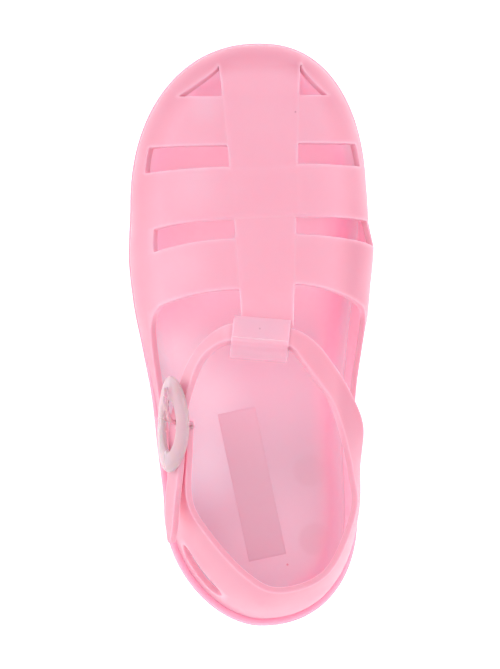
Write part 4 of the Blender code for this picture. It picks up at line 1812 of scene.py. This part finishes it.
    def lug_cutter(self) -> bpy.types.Object:
        """Cutter of the groove round one ring lug.

        Returns:
            The cutter, about the origin.
        """
        deselect()
        bpy.ops.mesh.primitive_torus_add(
            major_segments=self.ring_segments,
            minor_segments=self.groove_segments,
            major_radius=self.ring_middle * MM,
            minor_radius=self.ring_half * MM,
        )
        cutter = bpy.context.object
        cutter.scale.z = self.groove_depth / self.ring_half
        bpy.ops.object.transform_apply(location=True, rotation=True, scale=True)
        return cutter

    def flex_cutter(self) -> bpy.types.Object:
        """Cutter of one flex groove across the sole.

        Returns:
            The cutter, about the origin.
        """
        deselect()
        bpy.ops.mesh.primitive_uv_sphere_add(
            segments=self.groove_segments,
            ring_count=self.groove_rings,
            radius=self.ring_half * MM,
            rotation=(0.0, math.pi / 2, 0.0),
        )
        cutter = bpy.context.object
        bpy.ops.object.transform_apply(rotation=True)
        for vert in cutter.data.vertices:
            if abs(vert.co.x) > SAME_PLACE:
                vert.co.x += math.copysign(self.flex_reach * MM, vert.co.x)
            vert.co.z *= self.groove_depth / self.ring_half
        return cutter

    def tread(self) -> bpy.types.Object:
        """Cutters of the ring lugs and flex grooves, each kind modelled once and copied.

        Returns:
            All the cutters as one object.
        """
        lugs = [Vector((*lug, 0.0)) for lug in self.lugs]
        grooves = [Vector((0.0, along, 0.0)) for along in self.flex_grooves]
        cutters = []
        for pattern, places in ((self.lug_cutter(), lugs), (self.flex_cutter(), grooves)):
            cutters += [copy_to(pattern, place) for place in places]
            bpy.data.objects.remove(pattern)
        return join("tread", cutters)

    def build(self) -> bpy.types.Object:
        """Makes the sole with its tread and panel.

        Returns:
            The finished object.
        """
        columns, rings = self.columns(), self.rings()

        def point(u: float, v: float) -> Vector:
            """The skin at a column and a ring."""
            side, place = columns[round(u * len(columns)) % len(columns)]
            return rings[round(v * (len(rings) - 1))](side, place)

        sole = grid_patch("sole_unit", len(columns), len(rings) - 1, point)
        sole.data.name = "sole_unit"
        merge(sole, SEAM_REACH)
        combine(sole, self.tread(), Boolean.CUT)
        combine(sole, self.panel(sole), Boolean.ADD)
        shade(sole, self.crease_angle)
        self.mark_skin(sole)
        return sole

    def mark_skin(self, sole: bpy.types.Object) -> None:
        """Stores where the sole is deep in colour, partly painted shade, where the panel is, and the painted
        shade along the bed's medial border.

        Args:
            sole: The finished sole.
        """
        near_sole = nearest(self.last.edge_line())
        deeps, panels, wall_shades = [], [], []
        for vert in sole.data.vertices:
            along, across = vert.co.y / MM + BOX_MID_ALONG, vert.co.x / MM + BOX_MID_ACROSS
            above = vert.co.z / MM > self.last.level("footbed", along) - self.bed_skin
            panels.append(1.0 if above and self.in_panel(across, along) > self.panel_border else 0.0)
            far = near_sole(Vector((vert.co.x, vert.co.y, 0.0)))[2] / MM
            # Deeper pink on the sides, underside and outer bowl: thicker plastic, and painted shade.
            deep = 1 - ease((far - self.last.level("ledge", along)) / self.deep_fade)
            deeps.append(deep if above else 1.0)
            # Painted shade along the medial border of the footbed, by the wall.
            wall_shade = 1 - ease((far - self.warm_from) / (self.warm_to - self.warm_from))
            wall_shade *= ease((self.warm_front - along) / self.warm_to)
            wall_shades.append(wall_shade * (1 - deep) if above and across > self.warm_across else 0.0)
        store(sole, Region.DEEP, deeps)
        store(sole, Region.INNER, panels)
        store(sole, Region.EDGE, wall_shades)

    def in_panel(self, across: float, along: float) -> float:
        """How far inside the panel on the footbed a place is.

        Args:
            across: Distance across the shoe in mm.
            along: Distance along the shoe in mm.

        Returns:
            The distance in mm, below 0 outside.
        """
        turn = Matrix.Rotation(math.radians(-self.panel_turn), 2)
        place = turn @ (Vector((across, along)) - Vector(self.panel_middle))
        return min(size / 2 - abs(value) for size, value in zip(self.panel_size, place))

    def panel(self, sole: bpy.types.Object) -> bpy.types.Object:
        """The bare panel that stands a little proud of the footbed.

        Args:
            sole: The sole, which the panel is laid on.

        Returns:
            The panel, sunk into the sole.
        """
        width, length = self.panel_size
        turn = Matrix.Rotation(math.radians(self.panel_turn), 2)

        def point(u: float, v: float) -> Vector:
            """The flat panel, above the footbed."""
            plan = turn @ Vector(((u - 0.5) * width, (v - 0.5) * length)) + Vector(self.panel_middle)
            return Vector((plan.x, plan.y, self.panel_from))

        panel = grid_patch("panel", *self.panel_faces, point)
        apply_modifier(
            panel,
            "SHRINKWRAP",
            target=sole,
            wrap_method="PROJECT",
            use_project_z=True,
            use_negative_direction=True,
            use_positive_direction=False,
            wrap_mode="ABOVE_SURFACE",
            offset=self.panel_proud * MM,
        )
        apply_modifier(panel, "SOLIDIFY", thickness=self.panel_sunk * MM, offset=-1.0)
        soften(panel, self.panel_round, self.panel_round_segments, self.panel_round_angle)
        return panel


class NodeBench:
    """Adds and wires the nodes of one tree."""

    def __init__(self, tree: bpy.types.NodeTree) -> None:
        """Starts on a tree."""
        self.tree = tree

    def fill(self, node: bpy.types.Node, values: Inputs) -> None:
        """Fills the inputs of a node.

        Args:
            node: The node.
            values: Name or number of an input to its value, or to the output socket that feeds it.
        """
        for name, value in values.items():
            if isinstance(value, bpy.types.NodeSocket):
                self.tree.links.new(value, node.inputs[name])
            else:
                node.inputs[name].default_value = value

    def add(self, kind: str, values: Inputs | None = None, **settings: object) -> bpy.types.Node:
        """Adds a node.

        Args:
            kind: Blender's name of the node's type.
            values: Inputs as fill() takes them.
            settings: Attributes of the node.

        Returns:
            The node.
        """
        node = self.tree.nodes.new(kind)
        for name, value in settings.items():
            setattr(node, name, value)
        self.fill(node, values or {})
        return node

    def group(self, tree: bpy.types.NodeTree, values: Inputs) -> bpy.types.Node:
        """Places a node group with its inputs."""
        return self.add("ShaderNodeGroup", values, node_tree=tree)

    def attribute(self, region: Region) -> bpy.types.NodeSocket:
        """The value that a piece stores for a region."""
        return self.add("ShaderNodeAttribute", attribute_name=region.value).outputs["Fac"]

    def blend(
        self, factor: bpy.types.NodeSocket, first: bpy.types.NodeSocket | Colour, second: Colour
    ) -> bpy.types.NodeSocket:
        """A colour mixed from two by a factor.

        Args:
            factor: 0 for the first colour, 1 for the second.
            first: A colour, or the output socket of one.
            second: A colour.

        Returns:
            The mixed colour's socket.
        """
        start = first if isinstance(first, bpy.types.NodeSocket) else (*first, 1.0)
        # Sockets by number, as their names repeat: 0 the factor, 6 and 7 the colours, output 2 their mix
        values = {0: factor, 6: start, 7: (*second, 1.0)}
        return self.add("ShaderNodeMix", values, data_type="RGBA", clamp_factor=True).outputs[2]

    def remap(
        self, value: bpy.types.NodeSocket, source: tuple[float, float], target: tuple[float, float]
    ) -> bpy.types.NodeSocket:
        """A value mapped from one range to another, softly and within limits.

        Args:
            value: The value's socket.
            source: The range that it has.
            target: The range that it gets.

        Returns:
            The mapped value's socket.
        """
        names = ("From Min", "From Max", "To Min", "To Max")
        values = {"Value": value, **dict(zip(names, (*source, *target)))}
        return self.add("ShaderNodeMapRange", values, interpolation_type="SMOOTHSTEP").outputs["Result"]

    def scaled(self, value: bpy.types.NodeSocket, share: float) -> bpy.types.NodeSocket:
        """A value times a share."""
        return self.add("ShaderNodeMath", {0: value, 1: share}, operation="MULTIPLY").outputs[0]


def new_group(name: str, vectors: Sequence[str], numbers: Sequence[str], outputs: Sequence[str]) -> NodeBench:
    """A new shader node group.

    Args:
        name: Its name.
        vectors: Names of its vector inputs.
        numbers: Names of its number inputs.
        outputs: Names of its number outputs.

    Returns:
        A bench on the group.
    """
    group = bpy.data.node_groups.new(name, "ShaderNodeTree")
    sockets = [(each, "INPUT", "NodeSocketVector") for each in vectors]
    sockets += [(each, "INPUT", "NodeSocketFloat") for each in numbers]
    sockets += [(each, "OUTPUT", "NodeSocketFloat") for each in outputs]
    for socket, way, kind in sockets:
        group.interface.new_socket(socket, in_out=way, socket_type=kind)
    return NodeBench(group)


def milky_group() -> bpy.types.NodeTree:
    """Soft clouds of the moulding's milkiness, and the fine unevenness of its skin.

    Returns:
        The group, which is built once.
    """
    group = bpy.data.node_groups.get("milky_plastic")
    if group:
        return group
    bench = new_group("milky_plastic", ("Position",), (), ("Cloud", "Skin"))
    where = bench.add("NodeGroupInput").outputs["Position"]
    clouded = {"Vector": where, "Scale": CLOUD_SCALE, "Detail": CLOUD_DETAIL}
    uneven = {"Vector": where, "Scale": SKIN_SCALE, "Detail": SKIN_DETAIL}
    cloud, skin = (bench.add("ShaderNodeTexNoise", values) for values in (clouded, uneven))
    clouds = bench.remap(cloud.outputs["Fac"], CLOUD_RANGE, (0.0, 1.0))
    bench.add("NodeGroupOutput", {"Cloud": clouds, "Skin": skin.outputs["Fac"]})
    return bench.tree


def spot_group() -> bpy.types.NodeTree:
    """A soft round mark in plan: 1 within a radius of a place, fading over a soft border.

    Returns:
        The group, which is built once.
    """
    group = bpy.data.node_groups.get("round_mark")
    if group:
        return group
    bench = new_group("round_mark", ("Position", "Middle"), ("Inner", "Outer"), ("Mask",))
    entry = bench.add("NodeGroupInput").outputs
    ends = {0: entry["Position"], 1: entry["Middle"]}
    apart = bench.add("ShaderNodeVectorMath", ends, operation="SUBTRACT")
    flat = bench.add("ShaderNodeVectorMath", {0: apart.outputs[0], 1: IN_PLAN}, operation="MULTIPLY")
    away = bench.add("ShaderNodeVectorMath", {0: flat.outputs[0]}, operation="LENGTH").outputs["Value"]
    mask = bench.remap(away, (entry["Inner"], entry["Outer"]), (1.0, 0.0))
    bench.add("NodeGroupOutput", {"Mask": mask})
    return bench.tree


def new_material(name: str) -> tuple[bpy.types.Material, NodeBench, bpy.types.Node]:
    """A new material.

    Args:
        name: Its name.

    Returns:
        The material, a bench on its nodes and its shader.
    """
    made = bpy.data.materials.new(name)
    made.use_nodes = True
    return made, NodeBench(made.node_tree), made.node_tree.nodes["Principled BSDF"]


@dataclass(frozen=True)
class JellyFinish:
    """Soft see-through PVC: pale where thin, deep where thick, with milky clouds and a satin skin.

    The colours deep, inner and edge belong to the regions of the same names that a piece stores. Deep is
    partly painted shade, inner is painted light on the upper and the panel's colour on the sole, and edge is
    a painted highlight on the upper and painted shade on the sole.
    """

    name: str
    pale: Colour
    deep: Colour
    milk: Colour
    inner: Colour
    edge: Colour
    # Painted glow of the INNER region, which lifts the shade of the inner walls.
    glow: Colour = NO_LIGHT
    milk_amount: float = 0.25
    roughness: float = 0.4
    smoother: float = 0.05
    rougher: float = 0.06
    bump: float = 0.12
    bump_depth: float = 0.0002
    refraction: float = 1.53
    depth: float = 0.004
    spread: Colour = (1.0, 0.6, 0.65)
    marks: tuple[Mark, ...] = ()

    def material(self) -> bpy.types.Material:
        """Builds the material.

        Returns:
            The material.
        """
        made, bench, shader = new_material(self.name)
        where = bench.add("ShaderNodeTexCoord").outputs["Object"]
        milky = bench.group(milky_group(), {"Position": where}).outputs
        colour = bench.blend(bench.scaled(milky["Cloud"], self.milk_amount), self.pale, self.milk)
        # Round marks: real specks, painted highlights and painted shade.
        for spot in self.marks:
            middle = to_frame(Vector((spot.across, spot.along, 0.0)))
            values = {"Position": where, "Middle": middle, "Inner": spot.inner * MM, "Outer": spot.outer * MM}
            mask = bench.scaled(bench.group(spot_group(), values).outputs["Mask"], spot.strength)
            colour = bench.blend(mask, colour, spot.colour)
        # Regions: DEEP, partly painted shade; INNER, painted light on the upper's inner walls and the panel's
        # own colour on the sole; EDGE, painted highlight on the upper and painted shade on the sole.
        for region in Region:
            share = bench.attribute(region)
            colour = bench.blend(share, colour, getattr(self, region.value))
            # Painted glow: the upper's inner walls give off light to lift their shade.
            if region is Region.INNER and any(self.glow):
                light = bench.blend(share, NO_LIGHT, self.glow)
                bench.fill(shader, {"Emission Color": light, "Emission Strength": 1.0})
        limits = (self.roughness - self.smoother, self.roughness + self.rougher)
        rough = bench.remap(milky["Cloud"], (0.0, 1.0), limits)
        skin = {"Strength": self.bump, "Distance": self.bump_depth, "Height": milky["Skin"]}
        bump = bench.add("ShaderNodeBump", skin).outputs["Normal"]
        bench.fill(shader, {"Base Color": colour, "Roughness": rough, "Normal": bump, "IOR": self.refraction})
        shader.inputs["Subsurface Weight"].default_value = 1.0
        shader.inputs["Subsurface Radius"].default_value = self.spread
        shader.inputs["Subsurface Scale"].default_value = self.depth
        return made


@dataclass(frozen=True)
class ClearFinish:
    """Clear, slightly milky hard plastic; the colour deep belongs to the region of that name, a pinker tint
    painted against the shade of the buckle's bar.
    """

    name: str
    colour: Colour
    cloudy: Colour
    deep: Colour
    roughness: float = 0.3
    smoother: float = 0.04
    rougher: float = 0.05
    refraction: float = 1.49
    through: float = 0.45
    scatter: float = 0.6
    depth: float = 0.003

    def material(self) -> bpy.types.Material:
        """Builds the material.

        Returns:
            The material.
        """
        made, bench, shader = new_material(self.name)
        where = bench.add("ShaderNodeTexCoord").outputs["Object"]
        cloud = bench.group(milky_group(), {"Position": where}).outputs["Cloud"]
        colour = bench.blend(cloud, self.colour, self.cloudy)
        colour = bench.blend(bench.attribute(Region.DEEP), colour, self.deep)
        limits = (self.roughness - self.smoother, self.roughness + self.rougher)
        rough = bench.remap(cloud, (0.0, 1.0), limits)
        bench.fill(shader, {"Base Color": colour, "Roughness": rough, "IOR": self.refraction})
        shader.inputs["Transmission Weight"].default_value = self.through
        shader.inputs["Subsurface Weight"].default_value = self.scatter
        shader.inputs["Subsurface Scale"].default_value = self.depth
        return made


def dress(piece: bpy.types.Object, material: bpy.types.Material, slot: str, *nodes: str) -> None:
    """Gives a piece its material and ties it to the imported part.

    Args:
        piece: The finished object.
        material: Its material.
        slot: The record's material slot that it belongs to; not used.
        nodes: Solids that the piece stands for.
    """
    piece.data.materials.clear()
    piece.data.materials.append(material)
    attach(piece, BODY)
    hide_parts(*nodes)
    LOG.info("%s: %d faces", piece.name, len(piece.data.polygons))


@dataclass(frozen=True)
class Studio:
    """Pale floor, soft light and the camera straight above the shoe."""

    camera_height: float = 8.0
    focus_height: float = 0.016
    floor_half: float = 3.0
    floor_colour: Colour = (0.93, 0.93, 0.93)
    floor_roughness: float = 0.9
    floor_glow: float = 0.7
    sky: float = 0.95
    key_size: float = 1.0
    key_power: float = 1.5
    key_place: Place = (-0.25, 0.15, 1.4)

    def build(self) -> None:
        """Makes floor, lights and camera."""
        bpy.context.scene.view_settings.view_transform = "Standard"
        self.lay_floor()
        self.light()
        self.look_down()

    def lay_floor(self) -> None:
        """Makes the pale paper under the shoe."""
        deselect()
        bpy.ops.mesh.primitive_plane_add(size=2 * self.floor_half)
        floor = bpy.context.object
        floor.name = "floor"
        paper, bench, shader = new_material("white_paper")
        bench.fill(shader, {"Base Color": (*self.floor_colour, 1.0), "Roughness": self.floor_roughness})
        bench.fill(shader, {"Emission Color": WHITE, "Emission Strength": self.floor_glow})
        floor.data.materials.append(paper)

    def light(self) -> None:
        """Makes the white surroundings and a square soft light that looks at the shoe."""
        world = bpy.data.worlds.new("studio")
        world.use_nodes = True
        sky = {"Color": WHITE, "Strength": self.sky}
        NodeBench(world.node_tree).fill(world.node_tree.nodes["Background"], sky)
        bpy.context.scene.world = world
        light = bpy.data.lights.new("key", "AREA")
        light.size = self.key_size
        light.energy = self.key_power
        holder = bpy.data.objects.new("key", light)
        holder.location = self.key_place
        holder.rotation_euler = Vector(self.key_place).to_track_quat("Z", "Y").to_euler()
        bpy.context.scene.collection.objects.link(holder)

    def look_down(self) -> None:
        """Makes the camera, whose view is as long as the photograph."""
        camera = bpy.data.cameras.new("above")
        view = MM_PER_PIXEL * MM * max(IMAGE_WIDTH, IMAGE_HEIGHT)
        camera.angle = 2 * math.atan(view / 2 / (self.camera_height - self.focus_height))
        holder = bpy.data.objects.new("above", camera)
        holder.location = (0.0, 0.0, self.camera_height)
        bpy.context.scene.collection.objects.link(holder)
        bpy.context.scene.camera = holder


# Painted highlights: the milky lilac sheen of a soft light on the lateral strap slopes.
LILAC_HIGHLIGHT = (0.86, 0.58, 0.70)
# Painted shade: darker pink at the ankle strap's free end, beside the buckle and round the heel.
UPPER_SHADE = (0.80, 0.44, 0.55)
SPECK = (0.55, 0.16, 0.24)
# Painted shade: a darker tone on the open footbed of heel and arch, which evens it with the footbed in the
# straps' shade.
OPEN_BED_SHADE = (0.60, 0.55, 0.62)
# Painted light: a lighter tone in the heel cup, laid over the darker open footbed.
HEEL_BED_LIGHT = (0.69, 0.64, 0.70)
LUG_SHADE = (0.59, 0.50, 0.57)
# Painted light: the paler lateral half of the footbed.
BED_LIGHT = (0.74, 0.78, 0.83)
UPPER_PINK = JellyFinish(
    name="upper_pink",
    pale=(0.95, 0.45, 0.57),
    # Deeper pink: thicker plastic, and painted shade.
    deep=(0.78, 0.31, 0.42),
    milk=(0.90, 0.49, 0.61),
    # Painted light: the paler inner walls and their glow lift the shade there.
    inner=(1.0, 0.66, 0.76),
    glow=(0.22, 0.04, 0.07),
    # Painted highlight along the edges.
    edge=(0.96, 0.58, 0.69),
    depth=0.0025,
    marks=(
        # Painted highlights on the lateral strap slopes.
        Mark(-15.6, 192.5, 1.0, 9.0, 0.35, LILAC_HIGHLIGHT),
        Mark(-19.5, 163.0, 2.0, 13.0, 0.35, LILAC_HIGHLIGHT),
        Mark(-22.0, 133.0, 2.0, 12.0, 0.3, LILAC_HIGHLIGHT),
        # Painted shade at the strap's free end, beside the buckle and at the heel.
        Mark(-27.8, 48.0, 4.0, 16.0, 0.8, UPPER_SHADE),
        Mark(-18.5, 102.0, 3.0, 13.0, 0.8, UPPER_SHADE),
        Mark(-36.0, 102.0, 3.0, 16.0, 0.7, UPPER_SHADE),
        Mark(10.0, 12.0, 10.0, 40.0, 0.5, UPPER_SHADE),
        Mark(17.7, 190.4, 0.15, 0.5, 0.6, SPECK),
        Mark(4.5, 110.2, 0.15, 0.5, 0.5, SPECK),
    ),
)
SOLE_PINK = JellyFinish(
    name="sole_pink",
    pale=(0.99, 0.72, 0.82),
    # Deeper pink of the sides and underside: thicker plastic, and painted shade.
    deep=(0.92, 0.33, 0.46),
    milk=(0.96, 0.74, 0.83),
    inner=(0.61, 0.53, 0.60),
    # Painted shade along the medial border of the footbed.
    edge=(0.80, 0.53, 0.63),
    depth=0.03,
    spread=(1.0, 0.57, 0.6),
    marks=(
        # Painted shade on the open footbed, painted light in the heel cup and on the lateral half.
        Mark(5.0, 45.0, 62.0, 90.0, 1.0, OPEN_BED_SHADE),
        Mark(14.0, 24.0, 8.0, 44.0, 0.8, HEEL_BED_LIGHT),
        Mark(-19.0, 60.0, 0.0, 26.0, 0.9, BED_LIGHT),
        Mark(-17.0, 84.0, 0.0, 22.0, 0.6, BED_LIGHT),
        Mark(-29.0, 102.0, 0.0, 20.0, 0.8, BED_LIGHT),
        Mark(23.0, 57.5, 4.8, 7.0, 0.4, LUG_SHADE),
        Mark(25.0, 32.0, 4.8, 7.0, 0.4, LUG_SHADE),
        Mark(14.8, 22.6, 0.3, 0.5, 0.6, SPECK),
    ),
)
BUCKLE_CLEAR = ClearFinish(
    name="buckle_clear",
    colour=(0.88, 0.69, 0.75),
    cloudy=(0.90, 0.65, 0.72),
    # A pinker tint on the bar, painted against the grey of its shade.
    deep=(0.99, 0.50, 0.62),
)
PRONG_CLEAR = ClearFinish(
    name="prong_clear",
    colour=(0.99, 0.63, 0.74),
    cloudy=(0.99, 0.60, 0.71),
    deep=(0.99, 0.63, 0.74),
)


def main() -> None:
    """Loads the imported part, builds and dresses every piece and sets the studio round it."""
    logging.basicConfig(level=logging.INFO, format="%(name)s: %(message)s")
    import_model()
    last = Last()
    upper = Upper(last)
    buckle = Buckle(upper)
    dress(Outsole(last).build(), SOLE_PINK.material(), "sole_pink", "outsole")
    dress(upper.build(buckle), UPPER_PINK.material(), "upper_pink", "upper")
    dress(buckle.build_frame(), BUCKLE_CLEAR.material(), "buckle_clear", "buckle_frame")
    dress(buckle.build_prong(), PRONG_CLEAR.material(), "buckle_clear", "buckle_prong")
    Studio().build()


if __name__ == "__main__":
    main()
